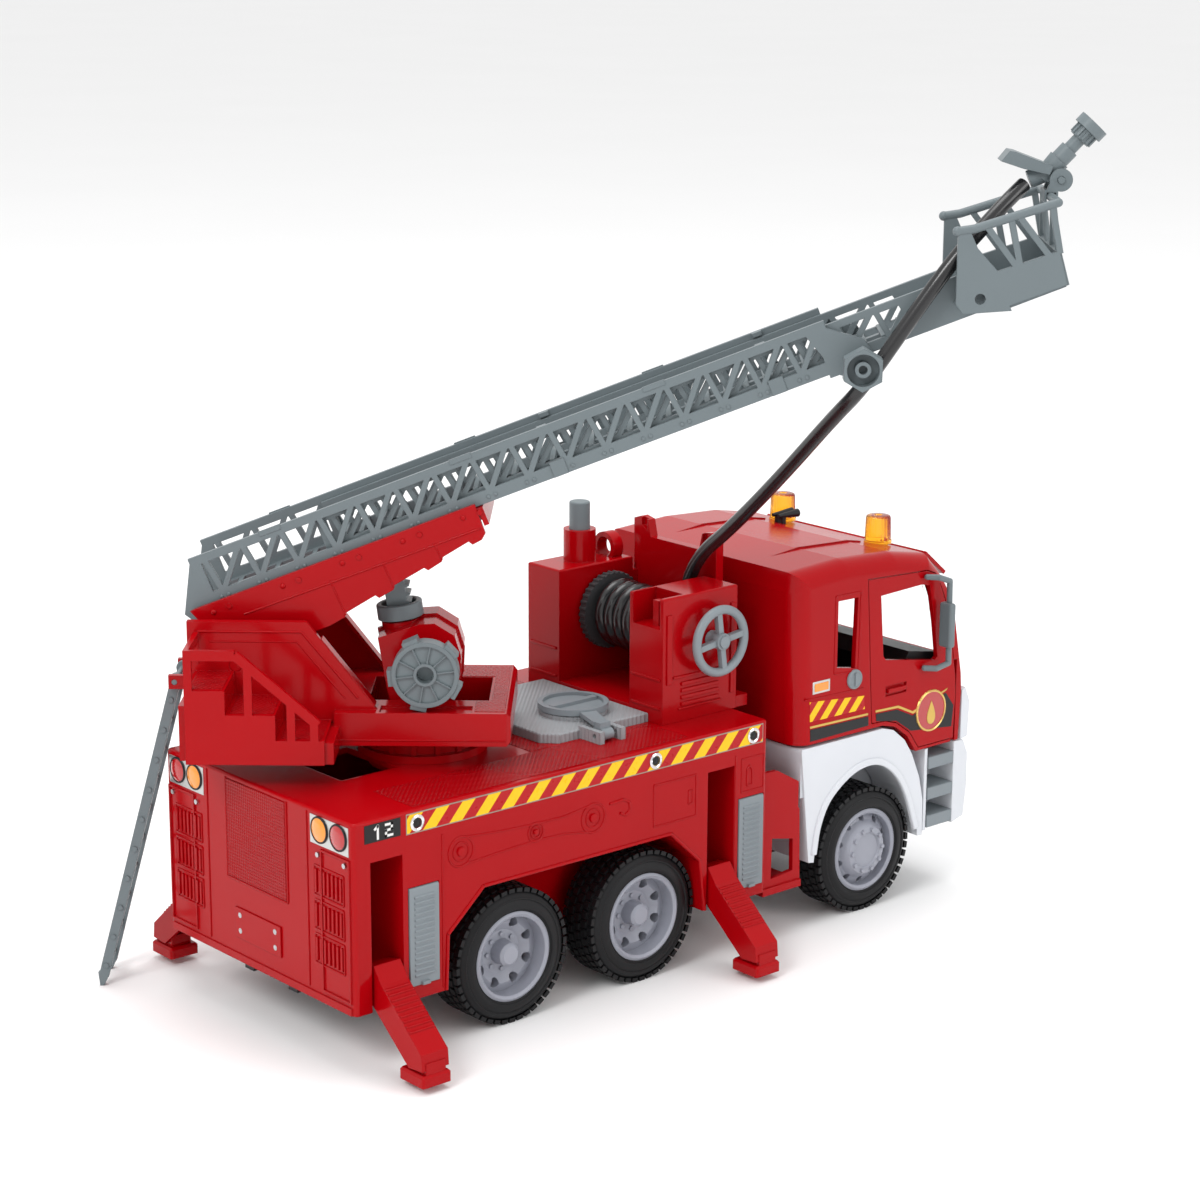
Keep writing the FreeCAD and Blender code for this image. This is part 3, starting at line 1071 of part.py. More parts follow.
def basket():
    right = basket_side_frame()
    floor = slab_xz(((224.0, 281.8), (247.4, 291.0), (246.8, 292.8), (223.4, 283.6)), -BASKET_HALF + 1, BASKET_HALF - 1)
    front = slab_xz(((246.2, 291.0), (248.4, 291.8), (244.6, 305.2), (242.8, 304.2)), -BASKET_HALF + 0.5, BASKET_HALF - 0.5)
    front_bars = []
    for low_y, high_y in ((-22.0, -14.0), (-6.0, -14.0), (6.0, 14.0), (22.0, 14.0)):
        front_bars.append(rod((244.2, low_y, 304.0), (242.6, high_y, 321.8), 1.2))
    rim_front = rod((243.0, -BASKET_HALF + 1, 322.6), (243.0, BASKET_HALF - 1, 322.6), 1.7)
    sill = slab_xz(((222.0, 281.6), (226.0, 283.2), (225.0, 286.0), (221.2, 284.6)), -BASKET_HALF + 1, BASKET_HALF - 1)
    ears = []
    pin_a, _, pin_z = ladder_to_table(BASKET_PIN[0], 0, BASKET_PIN[1])
    for b in (-17.3, 15.1):
        ear = slab_xz(((206.0, 283.0), (224.0, 283.4), (222.0, 291.0), (pin_a + 2, pin_z + 5), (pin_a - 5, pin_z + 5)), b, b + 2.2)
        ears.append(ear)
    brace = block(222.2, 225.5, -BASKET_HALF + 1, BASKET_HALF - 1, 281.9, 284.2)
    gates = []
    for b0, b1 in ((-BASKET_HALF + 1, -15.2), (15.2, BASKET_HALF - 1)):
        gates.append(slab_xz(((219.0, 283.4), (221.4, 283.8), (217.4, 296.6), (215.4, 295.6)), b0, b1))
    body = fuse(right + [flip(piece) for piece in right] + [floor, front, rim_front, sill, brace] + front_bars + ears + gates)
    return body.cut(rod((pin_a, -40, pin_z), (pin_a, 40, pin_z), 2.0 + FIT))


MONITOR_PIVOT = (246.6, 329.0)
NOZZLE_LEAN = 47.0


def monitor_bracket():
    """The clip on the basket's rim that holds the monitor's pivot pin."""
    a, z = MONITOR_PIVOT
    saddle = block(240.6, 245.6, -5.7, 5.7, 324.2, 325.2)
    clasp = [block(240.4, 241.2, -5.7, 5.7, 320.4, 325.2), block(244.8, 245.6, -5.7, 5.7, 320.4, 325.2)]
    cheeks = []
    for b in (-4.8, 4.8):
        cheek = rod((a, b - 0.9, z), (a, b + 0.9, z), 4.4)
        web = slab_xz(((241.2, 324.8), (245.4, 324.8), (249.6, 326.2), (250.6, 330.0), (243.4, 331.0)), b - 0.9, b + 0.9)
        cheeks += [cheek, web]
    body = fuse([saddle] + clasp + cheeks)
    return body.cut(rod((a, -8, z), (a, 8, z), 1.4 + FIT))


def monitor_body():
    """The water monitor: inlet elbow, tapered barrel, ribbed ring, nozzle disc and its handle plate."""
    a, z = MONITOR_PIVOT
    lean = math.radians(NOZZLE_LEAN)
    base = (241.2, 330.8)

    def at(distance):
        return (base[0] + distance * math.cos(lean), 0, base[1] + distance * math.sin(lean))

    barrel = [cone(at(-2.4), at(7.4), 3.5, 4.4), rod(at(7.4), at(13.0), 3.7), rod(at(13.0), at(18.6), 2.7)]
    barrel += [rod(at(18.0), at(22.8), 4.3), rod(at(22.4), at(26.4), 6.2)]
    ribs = []
    for k in range(12):
        rib = block(-0.5, 0.5, 4.0, 4.9, 18.4, 22.6)
        rib.rotate(Vec(0, 0, 0), Vec(0, 0, 1), k * 30)
        rib.rotate(Vec(0, 0, 0), Vec(0, 1, 0), 90 - NOZZLE_LEAN)
        rib.translate(Vec(base[0], 0, base[1]))
        ribs.append(rib)
    elbow = rod((234.9, 0, 328.6), (241.6, 0, 331.4), 3.5)
    barrel_mount = rod((a, -3.6, z), (a, 3.6, z), 3.2)
    arm = slab_xz(((240.4, 328.6), (246.4, 326.0), (249.4, 329.0), (245.0, 334.0)), -3.2, 3.2)
    plate = slab_xz(((223.4, 336.0), (226.6, 340.0), (229.0, 339.6), (243.4, 334.2), (242.0, 331.0), (232.0, 333.2)), -6.0, 6.0)
    pin = rod((a, -6.6, z), (a, 6.6, z), 1.4)
    body = fuse(barrel + ribs + [elbow, barrel_mount, arm, plate, pin])
    return body.cut(rod(at(16.0), at(27.0), 1.6))


# ---- lifting unit ----------------------------------------------------------------------------
def lean_frame(shape):
    """Lift frame: Z along the rod, Y along the knob's shaft, origin on that shaft."""
    placed = shape.copy()
    placed.rotate(Vec(0, 0, 0), Vec(0, 1, 0), -LIFT_LEAN)
    placed.translate(Vec(LIFT_A, 0, LIFT_Z))
    return placed


PINION_RADIUS = 5.0
PINION_TEETH = 9
RACK_PITCH = 2 * math.pi * PINION_RADIUS / PINION_TEETH
ROD_TOP = 44.0
ROD_BOTTOM = -28.0
ROD_BACK = 14.1
ROD_FRONT = 6.1


def lift_housing():
    """The tilting gearbox: rack guide behind, pinion chamber in front."""
    outline = ((-18.4, 12.4), (-17.8, -9.0), (-16.4, -19.0), (7.0, -19.0), (11.6, -8.0), (13.2, 1.0), (11.8, 9.4),
               (4.6, 15.4), (-1.6, 15.8))
    shell = slab_xz(outline, -14.0, 14.0)
    top = rod((-ROD_OFFSET, 0, 12.0), (-ROD_OFFSET, 0, 15.9), 8.0)
    slot = block(-ROD_BACK - GAP, -ROD_FRONT + 2.6, -4.4, 4.4, -23.0, 20.0)
    chamber = rod((0, -7.0, 0), (0, 7.0, 0), PINION_RADIUS + 1.6)
    bore = rod((0, -20, 0), (0, 20, 0), 3.0 + FIT)
    flange = slab_xz([(x * 1.06, z * 1.06) for x, z in outline], -1.0, 1.0)
    return lean_frame(fuse([shell, top, flange]).cut(fuse([slot, chamber, bore])))


def lift_collar():
    ring = tube((-ROD_OFFSET, 0, 16.8), (-ROD_OFFSET, 0, 22.8), 9.2, 6.9)
    ring = rounded(ring, 0.7, lambda e: e.BoundBox.ZMin > 22.7)
    return lean_frame(ring)


def lift_rod():
    """Square rod with rack teeth on its front face and a rounded end that meets the boom."""
    tip, root = -PINION_RADIUS + 0.7, -ROD_FRONT
    line = [(root, ROD_BOTTOM)]
    first = math.ceil((ROD_BOTTOM + 1.0) / RACK_PITCH) + 0.5
    count = int((ROD_TOP - 10.0 - ROD_BOTTOM) / RACK_PITCH)
    for k in range(count):
        middle = (first + k) * RACK_PITCH
        line += [(root, middle - 0.24 * RACK_PITCH), (tip, middle - 0.10 * RACK_PITCH)]
        line += [(tip, middle + 0.10 * RACK_PITCH), (root, middle + 0.24 * RACK_PITCH)]
    line += [(root, ROD_TOP), (-ROD_BACK, ROD_TOP), (-ROD_BACK, ROD_BOTTOM)]
    body = slab_xz(line, -4.1, 4.1)
    middle = -(ROD_BACK + ROD_FRONT) / 2
    eye = rod((middle, -4.1, ROD_TOP), (middle, 4.1, ROD_TOP), (ROD_BACK - ROD_FRONT) / 2)
    return lean_frame(fuse([body, eye]).cut(rod((middle, -6, ROD_TOP), (middle, 6, ROD_TOP), 1.6)))


def lift_knob():
    """The big lobed knob with a ribbed face, on the pinion's shaft."""
    y0, y1 = -33.0, -26.0
    disc = rod((0, y0, 0), (0, y1, 0), 13.2)
    face = tube((0, y0 - 1, 0), (0, y0 + 1.2, 0), 11.4, 4.6)
    lobes = []
    for k in range(5):
        lobe = block(11.5, 14.8, y0 + 0.4, y1, -3.2, 3.2)
        lobe.rotate(Vec(0, 0, 0), Vec(0, 1, 0), 72 * k - 35)
        lobes.append(lobe)
    ribs = []
    for k in range(10):
        rib = block(4.0, 12.0, y0 + 0.2, y0 + 1.5, -0.3, 0.3)
        rib.rotate(Vec(0, 0, 0), Vec(0, 1, 0), 36 * k)
        ribs.append(rib)
    shaft = rod((0, -27.0, 0), (0, 23.6, 0), 3.0)
    gear = pinion(PINION_RADIUS, PINION_TEETH, 1.2, 3.8, 180.0)
    knob = fuse([disc.cut(face), shaft, gear] + lobes + ribs)
    return lean_frame(knob.cut(rod((0, y0 - 1, 0), (0, y0 + 5.0, 0), 3.4)))


# ---- all nodes -------------------------------------------------------------------------------
def leg_for(x, left):
    leg = outrigger_leg(x + BAY_WIDTH / 2)
    return flip(leg) if left else leg


def build():
    """Every node by name, in the working gauge."""
    nodes = {
        "chassis_frame": chassis_frame(),
        "rear_body_shell": rear_body_shell(),
        "turntable_ring": turntable_ring(),
        "tank_cover_plate": tank_cover_plate(),
        "filler_lid": filler_lid(),
        "water_tank": water_tank(),
        "hose_bay_housing": hose_bay_housing(),
        "pump_barrel": pump_barrel(),
        "pump_spring": pump_spring(),
        "pump_plunger": pump_plunger(),
        "reel_spool": reel_spool(),
        "handwheel": handwheel(),
        "hose": hose(),
        "hose_coil": hose_coil(),
        "outrigger_pins": outrigger_pins(),
        "cab_shell": cab_shell(),
        "door_right": cab_door(),
        "door_left": flip(cab_door()),
        "cab_lower": cab_lower(),
        "cab_steps": cab_steps(),
        "windscreen": windscreen(),
        "cab_interior": cab_interior(),
        "steering_wheel": steering_wheel(),
        "sun_visor": sun_visor(),
        "mirror_right": mirror_right(),
        "mirror_left": flip(mirror_right()),
        "beacons": beacons(),
        "air_horns": air_horns(),
        "headlamps": headlamps(),
        "front_grille": front_grille(),
        "step_brackets": step_brackets(),
        "body_screws": body_screws(),
        "turntable_base": on_table(turntable_base()),
        "swivel_hub": on_table(swivel_hub()),
        "rear_ladder": on_table(rear_ladder()),
        "boom_cradle": on_table(boom_cradle()),
        "outer_ladder": on_table(outer_ladder()),
        "extension_knob": on_table(extension_knob()),
        "inner_ladder": on_table(inner_ladder()),
        "basket": on_table(basket()),
        "monitor_bracket": on_table(monitor_bracket()),
        "monitor_body": on_table(monitor_body()),
        "lift_housing": on_table(lift_housing()),
        "lift_collar": on_table(lift_collar()),
        "lift_rod": on_table(lift_rod()),
        "lift_knob": on_table(lift_knob()),
    }
    for name, x in (("rear", BAY_REAR[0]), ("front", BAY_REAR[1])):
        nodes[f"outrigger_{name}_right"] = leg_for(x, False)
        nodes[f"outrigger_{name}_left"] = leg_for(x, True)
    for name, box in (("rear", SHUTTERS[0]), ("front", SHUTTERS[1])):
        nodes[f"shutter_{name}_right"] = shutter(*box)
        nodes[f"shutter_{name}_left"] = flip(shutter(*box))
    for name, x in zip(("rear", "middle", "front"), WHEEL_X):
        nodes[f"tyres_{name}"] = group(pair(tyre(x)))
        nodes[f"rims_{name}"] = wheel_rims(x, name == "front")
    return nodes


def export(nodes):
    os.makedirs("parts", exist_ok=True)
    for name, shape in nodes.items():
        moved = shape.copy()
        moved.translate(Vec(-ORIGIN_X, -ORIGIN_Y, 0))
        moved.exportStep(f"parts/{name}.step")
        if not moved.isValid():
            print("not valid:", name)


if __name__ == "__main__":
    export(build())
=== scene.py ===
# %% [markdown]
# # A toy fire engine with a turntable ladder
# The engineering model gives the exact shapes and says which parts move together. This lesson
# dresses it: every moulded part gets its plastic, and the tyres, the lamp covers, the hose, the
# stickers and the raised details are made here; all but the hose ride on the moving bodies.

# %% Load the frame
import json
import math
import bmesh
import bpy
from mathutils import Matrix, Vector


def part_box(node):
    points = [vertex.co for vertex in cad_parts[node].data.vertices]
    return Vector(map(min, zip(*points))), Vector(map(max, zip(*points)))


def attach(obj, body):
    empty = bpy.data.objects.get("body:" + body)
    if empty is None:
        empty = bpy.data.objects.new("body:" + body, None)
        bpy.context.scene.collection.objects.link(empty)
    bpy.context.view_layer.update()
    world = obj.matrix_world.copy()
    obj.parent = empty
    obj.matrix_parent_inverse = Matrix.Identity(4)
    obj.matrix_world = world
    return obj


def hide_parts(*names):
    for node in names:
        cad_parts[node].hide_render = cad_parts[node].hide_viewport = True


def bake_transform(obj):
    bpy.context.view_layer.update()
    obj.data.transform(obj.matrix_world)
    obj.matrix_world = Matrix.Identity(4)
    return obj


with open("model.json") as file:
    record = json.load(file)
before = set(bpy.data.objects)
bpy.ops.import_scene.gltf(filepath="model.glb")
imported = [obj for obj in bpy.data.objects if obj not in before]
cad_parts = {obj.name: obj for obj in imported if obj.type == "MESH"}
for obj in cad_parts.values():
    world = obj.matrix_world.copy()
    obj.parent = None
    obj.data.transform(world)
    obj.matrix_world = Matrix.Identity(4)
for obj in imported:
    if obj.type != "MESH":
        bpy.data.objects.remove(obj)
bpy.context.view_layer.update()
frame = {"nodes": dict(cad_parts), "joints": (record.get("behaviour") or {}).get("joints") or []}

# %% [markdown]
# The truck, its turntable and its ladder each lie in their own direction. It would be possible to
# type world coordinates for every piece, but it is easier to think in millimetres along the part
# itself. Three matrices do that: one for the truck, one for the swung turntable and one for the
# raised ladder. They are read from the joints, so that they follow the model if it changes.

# %% Three places to build in
joints = {joint["name"]: joint for joint in frame["joints"]}
shell_low, shell_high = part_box("rear_body_shell")
BODY_LENGTH = 0.2133
BOOM_START = (-89.6, 180.9)


def matrix_from(x_axis, y_axis, z_axis, origin):
    columns = [Vector(v) / 1000 for v in (x_axis, y_axis, z_axis)]
    rows = [[columns[c][r] for c in range(3)] + [origin[r]] for r in range(3)]
    return Matrix(rows + [[0, 0, 0, 1]])


along = Vector(joints["ladder_extend"]["axis"]).normalized()
ahead = Vector((along.x, along.y, 0)).normalized()
left = Vector((-ahead.y, ahead.x, 0))
square_up = along.cross(left) * -1
square_up = square_up if square_up.z > 0 else -square_up
swivel = Vector(joints["turntable_swivel"]["pos_m"])
TRUCK = matrix_from((1, 0, 0), (0, 1, 0), (0, 0, 1),
                    (shell_high.x - BODY_LENGTH, (shell_low.y + shell_high.y) / 2, 0))
TABLE = matrix_from(ahead, left, (0, 0, 1), (swivel.x, swivel.y, 0))
LADDER = matrix_from(along, left, square_up, TABLE @ Vector((BOOM_START[0], 0, BOOM_START[1])))
print("turntable swung", round(math.degrees(math.atan2(ahead.y, ahead.x)), 1), "degrees")

# %% [markdown]
# The camera stands behind the right rear wheel, a little above the turntable, with a long lens.
# A long lens keeps the truck's lines nearly parallel. The rotation is
# built from the viewing direction, because three named vectors are easier to check than Euler angles.
# The view transform is Standard: the filmic ones wash out a strong red, and here the red is the point.

# %% Camera
def look(yaw, pitch, roll):
    forward = Vector((math.cos(yaw) * math.cos(pitch), math.sin(yaw) * math.cos(pitch), -math.sin(pitch)))
    right = Vector((math.sin(yaw), -math.cos(yaw), 0))
    up = right.cross(forward)
    turned_right = right * math.cos(roll) + up * math.sin(roll)
    turned_up = up * math.cos(roll) - right * math.sin(roll)
    rows = [[turned_right[i], turned_up[i], -forward[i]] for i in range(3)]
    return Matrix(rows).to_4x4()


camera_data = bpy.data.cameras.new("camera")
LENS, SENSOR = 86.04, 36.0
CAMERA_PLACE = (-589.29, -883.25, 441.83)
YAW, PITCH, ROLL = (math.radians(angle) for angle in (49.117, 14.233, 0.238))
camera_data.lens = LENS
camera_data.sensor_width = SENSOR
camera = bpy.data.objects.new("camera", camera_data)
bpy.context.scene.collection.objects.link(camera)
spot = TRUCK @ Vector(CAMERA_PLACE)
camera.matrix_world = Matrix.Translation(spot) @ look(YAW, PITCH, ROLL)
bpy.context.scene.camera = camera
bpy.context.scene.view_settings.view_transform = "Standard"
print("camera at", [round(v, 3) for v in spot])

# %% [markdown]
# Almost everything here is injection-moulded plastic. It could be one flat colour, but real
# mouldings have a faint flow variation, a slightly uneven gloss and edges that are never razor
# sharp. One function makes that finish: noise drives the colour and the roughness a little, a very
# fine bump breaks up the highlight, and a Bevel node rounds the edges in the shading.

# %% The plastic finish
def new_material(name):
    material = bpy.data.materials.new(name)
    material.use_nodes = True
    nodes, links = material.node_tree.nodes, material.node_tree.links
    return material, nodes, links, nodes["Principled BSDF"]


def noise(nodes, links, coords, scale, detail=2.0):
    node = nodes.new("ShaderNodeTexNoise")
    node.inputs["Scale"].default_value = scale
    node.inputs["Detail"].default_value = detail
    links.new(coords, node.inputs["Vector"])
    return node


def spread(nodes, links, value, low, high):
    node = nodes.new("ShaderNodeMapRange")
    node.inputs["From Min"].default_value = 0.3
    node.inputs["From Max"].default_value = 0.7
    node.inputs["To Min"].default_value = low
    node.inputs["To Max"].default_value = high
    links.new(value, node.inputs["Value"])
    return node.outputs["Result"]


def two_tone(nodes, links, factor, first, second):
    node = nodes.new("ShaderNodeMix")
    node.data_type = "RGBA"
    node.inputs[6].default_value = (*first, 1)
    node.inputs[7].default_value = (*second, 1)
    links.new(factor, node.inputs[0])
    return node.outputs[2]


def moulded(name, colour, gloss, coat=0.0, grain=1400.0, grain_depth=0.00002, edge=0.00045, shine=0.5):
    material, nodes, links, shader = new_material(name)
    coords = nodes.new("ShaderNodeTexCoord").outputs["Object"]
    cloud = noise(nodes, links, coords, 22.0)
    fine = noise(nodes, links, coords, grain, 1.0)
    darker = tuple(0.88 * c for c in colour)
    links.new(two_tone(nodes, links, cloud.outputs["Fac"], darker, colour), shader.inputs["Base Color"])
    links.new(spread(nodes, links, cloud.outputs["Fac"], gloss - 0.04, gloss + 0.05),
              shader.inputs["Roughness"])
    shader.inputs["Coat Weight"].default_value = coat
    shader.inputs["Coat Roughness"].default_value = 0.08
    shader.inputs["IOR"].default_value = 1.5
    shader.inputs["Specular IOR Level"].default_value = shine
    rounding = nodes.new("ShaderNodeBevel")
    rounding.samples = 3
    rounding.inputs["Radius"].default_value = edge
    bump = nodes.new("ShaderNodeBump")
    bump.inputs["Strength"].default_value = 0.5
    bump.inputs["Distance"].default_value = grain_depth
    links.new(fine.outputs["Fac"], bump.inputs["Height"])
    links.new(rounding.outputs["Normal"], bump.inputs["Normal"])
    links.new(bump.outputs["Normal"], shader.inputs["Normal"])
    return material


red = moulded("red_moulding", (0.37, 0.0005, 0.003), 0.17, coat=0.03, shine=0.14)
ladder_grey = moulded("ladder_grey", (0.150, 0.180, 0.192), 0.38, shine=0.3)
light_grey = moulded("light_grey", (0.215, 0.245, 0.265), 0.40, shine=0.3)
rim_grey = moulded("rim_silver_grey", (0.30, 0.31, 0.36), 0.32, shine=0.4)
reel_grey = moulded("reel_dark_grey", (0.05, 0.052, 0.055), 0.42, shine=0.3)
white = moulded("white_moulding", (0.66, 0.68, 0.72), 0.24, shine=0.3)
black = moulded("black_moulding", (0.008, 0.008, 0.009), 0.38, shine=0.3)
print("plastics made", len(bpy.data.materials))

# %% [markdown]
# Walkways on a fire engine are treaded so that boots don't slip. On a toy that is a shallow grid of
# raised diamonds. Modelling thousands of studs would be heavy, so two crossed wave textures give
# the height, turned 45 degrees, and the plate under them is real geometry.

# %% The tread finish
def treaded(name, colour, gloss, size, tilt=(0, 0, math.radians(45)), coat=0.0, depth=0.00035):
    material = moulded(name, colour, gloss, coat, shine=0.15)
    nodes, links = material.node_tree.nodes, material.node_tree.links
    shader = nodes["Principled BSDF"]
    coords = nodes.new("ShaderNodeTexCoord").outputs["Object"]
    turn = nodes.new("ShaderNodeMapping")
    turn.inputs["Rotation"].default_value = tilt
    links.new(coords, turn.inputs["Vector"])
    product = nodes.new("ShaderNodeMath")
    product.operation = "MULTIPLY"
    for k, direction in enumerate(("X", "Y")):
        wave = nodes.new("ShaderNodeTexWave")
        wave.bands_direction = direction
        wave.inputs["Scale"].default_value = 0.314 / size
        links.new(turn.outputs["Vector"], wave.inputs["Vector"])
        links.new(wave.outputs["Fac"], product.inputs[k])
    fine_bump = [n for n in nodes if n.type == "BUMP"][0]
    studs = nodes.new("ShaderNodeBump")
    studs.inputs["Strength"].default_value = 0.8
    studs.inputs["Distance"].default_value = depth
    links.new(product.outputs["Value"], studs.inputs["Height"])
    links.new(fine_bump.outputs["Normal"], studs.inputs["Normal"])
    links.new(studs.outputs["Normal"], shader.inputs["Normal"])
    return material


deck_tread = treaded("red_deck_tread", (0.33, 0.0005, 0.003), 0.26, 0.0016)
rear_mesh = treaded("red_rear_mesh", (0.33, 0.0005, 0.003), 0.28, 0.0013, tilt=(0, math.radians(90), 0))
cover_tread = treaded("grey_cover_tread", (0.31, 0.325, 0.34), 0.42, 0.0016)
print("tread finishes made", 3)

# %% [markdown]
# A CAD node is shown as it is, so it only needs its material. The list below says what each part of
# the real toy is moulded from. Anything that gets a finer stand-in later is simply hidden by it.

# %% Dress the CAD nodes
def dress(material, *names):
    for name in names:
        mesh = frame["nodes"][name].data
        mesh.materials.clear()
        mesh.materials.append(material)


dress(red, "rear_body_shell", "hose_bay_housing", "cab_shell", "door_left", "door_right", "step_brackets",
      "turntable_base", "boom_cradle", "lift_housing", "outrigger_rear_left", "outrigger_rear_right",
      "outrigger_front_left", "outrigger_front_right", "turntable_ring", "outrigger_pins", "sun_visor",
      "swivel_hub")
dress(ladder_grey, "outer_ladder", "inner_ladder", "basket", "monitor_body", "monitor_bracket",
      "extension_knob", "rear_ladder", "lift_rod", "lift_collar", "lift_knob", "mirror_left",
      "mirror_right", "pump_plunger")
dress(light_grey, "handwheel", "shutter_front_left", "shutter_front_right", "shutter_rear_left",
      "shutter_rear_right", "cab_steps", "filler_lid")
dress(cover_tread, "tank_cover_plate")
dress(rim_grey, "rims_front", "rims_middle", "rims_rear")
dress(reel_grey, "reel_spool")
dress(white, "cab_lower")
dress(black, "chassis_frame", "cab_interior", "steering_wheel", "front_grille", "air_horns",
      "water_tank", "pump_barrel", "tyres_front", "tyres_middle", "tyres_rear", "hose", "hose_coil")
print("dressed", len(frame["nodes"]), "nodes")

# %% [markdown]
# Screws and the pump's spring are metal, and the stripe's rings and the badge's rim are plated. Bare
# metal is easy to recognise by its sharp, slightly streaky reflection, so this finish has full
# metallic and a stretched noise.

# %% Metal
def bright_metal(name, colour, gloss):
    material, nodes, links, shader = new_material(name)
    coords = nodes.new("ShaderNodeTexCoord").outputs["Object"]
    stretch = nodes.new("ShaderNodeMapping")
    stretch.inputs["Scale"].default_value = (1, 1, 14)
    links.new(coords, stretch.inputs["Vector"])
    streaks = noise(nodes, links, stretch.outputs["Vector"], 260.0)
    darker = tuple(0.8 * c for c in colour)
    links.new(two_tone(nodes, links, streaks.outputs["Fac"], darker, colour), shader.inputs["Base Color"])
    links.new(spread(nodes, links, streaks.outputs["Fac"], gloss - 0.05, gloss + 0.08),
              shader.inputs["Roughness"])
    shader.inputs["Metallic"].default_value = 1.0
    return material


steel = bright_metal("screw_steel", (0.55, 0.55, 0.56), 0.28)
chrome = bright_metal("ring_chrome", (0.80, 0.80, 0.82), 0.12)
gold = bright_metal("badge_gold", (0.75, 0.50, 0.16), 0.25)
dress(steel, "body_screws", "pump_spring")
print("metals made")

# %% [markdown]
# The windscreen and the headlamp covers are clear styrene. Thin clear plastic is drawn as a shell
# with low roughness and full transmission, with the faintest tint so that it still shows as a sheet.
# The beacon covers are the same plastic in amber, moulded thick, so their colour is deep.

# %% Clear plastics
def clear_plastic(name, colour, gloss, ior):
    material, nodes, links, shader = new_material(name)
    coords = nodes.new("ShaderNodeTexCoord").outputs["Object"]
    haze = noise(nodes, links, coords, 60.0)
    links.new(two_tone(nodes, links, haze.outputs["Fac"], tuple(0.97 * c for c in colour), colour),
              shader.inputs["Base Color"])
    links.new(spread(nodes, links, haze.outputs["Fac"], gloss, gloss + 0.04), shader.inputs["Roughness"])
    shader.inputs["Transmission Weight"].default_value = 1.0
    shader.inputs["IOR"].default_value = ior
    return material


clear = clear_plastic("clear_screen", (0.96, 0.98, 0.98), 0.02, 1.10)
lamp_clear = clear_plastic("clear_lamp", (0.93, 0.95, 0.96), 0.06, 1.45)
amber = clear_plastic("amber_lens", (1.0, 0.42, 0.02), 0.08, 1.45)
dress(clear, "windscreen")
dress(lamp_clear, "headlamps")
dress(amber, "beacons")
print("clear plastics made")

# %% [markdown]
# Every extra piece goes through the same last steps: make the mesh, put it in the truck's,
# turntable's or ladder's place, give it soft edges and its material, and let it ride on its body.
# One short function keeps those steps the same for all of them.

# %% From a bmesh to a riding piece
def settle(bm, name, where, body, material, soft=0.0, angle=35):
    bmesh.ops.recalc_face_normals(bm, faces=bm.faces)
    mesh = bpy.data.meshes.new(name)
    bm.to_mesh(mesh)
    bm.free()
    mesh.transform(where)
    mesh.materials.append(material)
    mesh.shade_smooth()
    mesh.set_sharp_from_angle(angle=math.radians(angle))
    piece = bpy.data.objects.new(name, mesh)
    bpy.context.scene.collection.objects.link(piece)
    if soft:
        bevel = piece.modifiers.new("soft edges", "BEVEL")
        bevel.width = soft / 1000
        bevel.segments = 2
        bevel.limit_method = "ANGLE"
    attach(piece, body)
    return piece


def add_prism(bm, outline, start, end, axis="y"):
    """A flat outline pushed from start to end along one axis."""
    order = {"x": lambda u, v, t: (t, u, v), "y": lambda u, v, t: (u, t, v),
             "z": lambda u, v, t: (u, v, t)}[axis]
    near = [bm.verts.new(order(u, v, start)) for u, v in outline]
    far = [bm.verts.new(order(u, v, end)) for u, v in outline]
    bm.faces.new(near)
    bm.faces.new(far[::-1])
    for k in range(len(outline)):
        j = (k + 1) % len(outline)
        bm.faces.new((near[k], near[j], far[j], far[k]))


def add_box(bm, low, high):
    outline = [(low[0], low[2]), (high[0], low[2]), (high[0], high[2]), (low[0], high[2])]
    add_prism(bm, outline, low[1], high[1])


def add_lathe(bm, profile, centre, axis, steps=48):
    """Turns a (radius, distance) profile round an axis; one that ends where it starts makes a ring."""
    is_ring = profile[0] == profile[-1]
    profile = profile[:-1] if is_ring else profile
    forward = Vector(axis).normalized()
    side = forward.cross(Vector((0.12, 0.31, 0.94))).normalized()
    third = forward.cross(side)
    rings = []
    for k in range(steps):
        turn = 2 * math.pi * k / steps
        out = side * math.cos(turn) + third * math.sin(turn)
        rings.append([bm.verts.new(Vector(centre) + out * max(r, 0.001) + forward * d) for r, d in profile])
    for k in range(steps):
        here, there = rings[k], rings[(k + 1) % steps]
        for j in range(len(profile) - (0 if is_ring else 1)):
            m = (j + 1) % len(profile)
            bm.faces.new((here[j], there[j], there[m], here[m]))
    if not is_ring:
        bm.faces.new([ring[0] for ring in rings])
        bm.faces.new([ring[-1] for ring in rings][::-1])


def add_bar(bm, start, end, radius, sides=10):
    run = Vector(end) - Vector(start)
    add_lathe(bm, [(radius, 0), (radius, run.length)], start, run, sides)


print("tools ready")

# %% [markdown]
# A play tyre is one soft moulding: a round shoulder, a fine raised ring on the side wall, and tread
# blocks round the outside. The carcass is turned on a lathe from its half section, and the blocks are
# small boxes placed in five staggered rows. They stand up by under a millimetre, as moulded ones do.

# %% Rubber
rubber = moulded("tyre_rubber", (0.006, 0.006, 0.007), 0.50, grain=2600.0, grain_depth=0.00005,
                 edge=0.0003, shine=0.25)
print("rubber made")

# %% [markdown]
# Each axle carries two tyres, which turn together, so they are one piece. It rides on the axle's body
# and stands for the plain tyres of the engineering model.

# %% Tyres
TYRE = 28.0
WIDE = (39.0, 60.4)
TREAD_FOOT, TREAD_TOP = 26.2, 27.9
BLOCK_HALF = 1.42


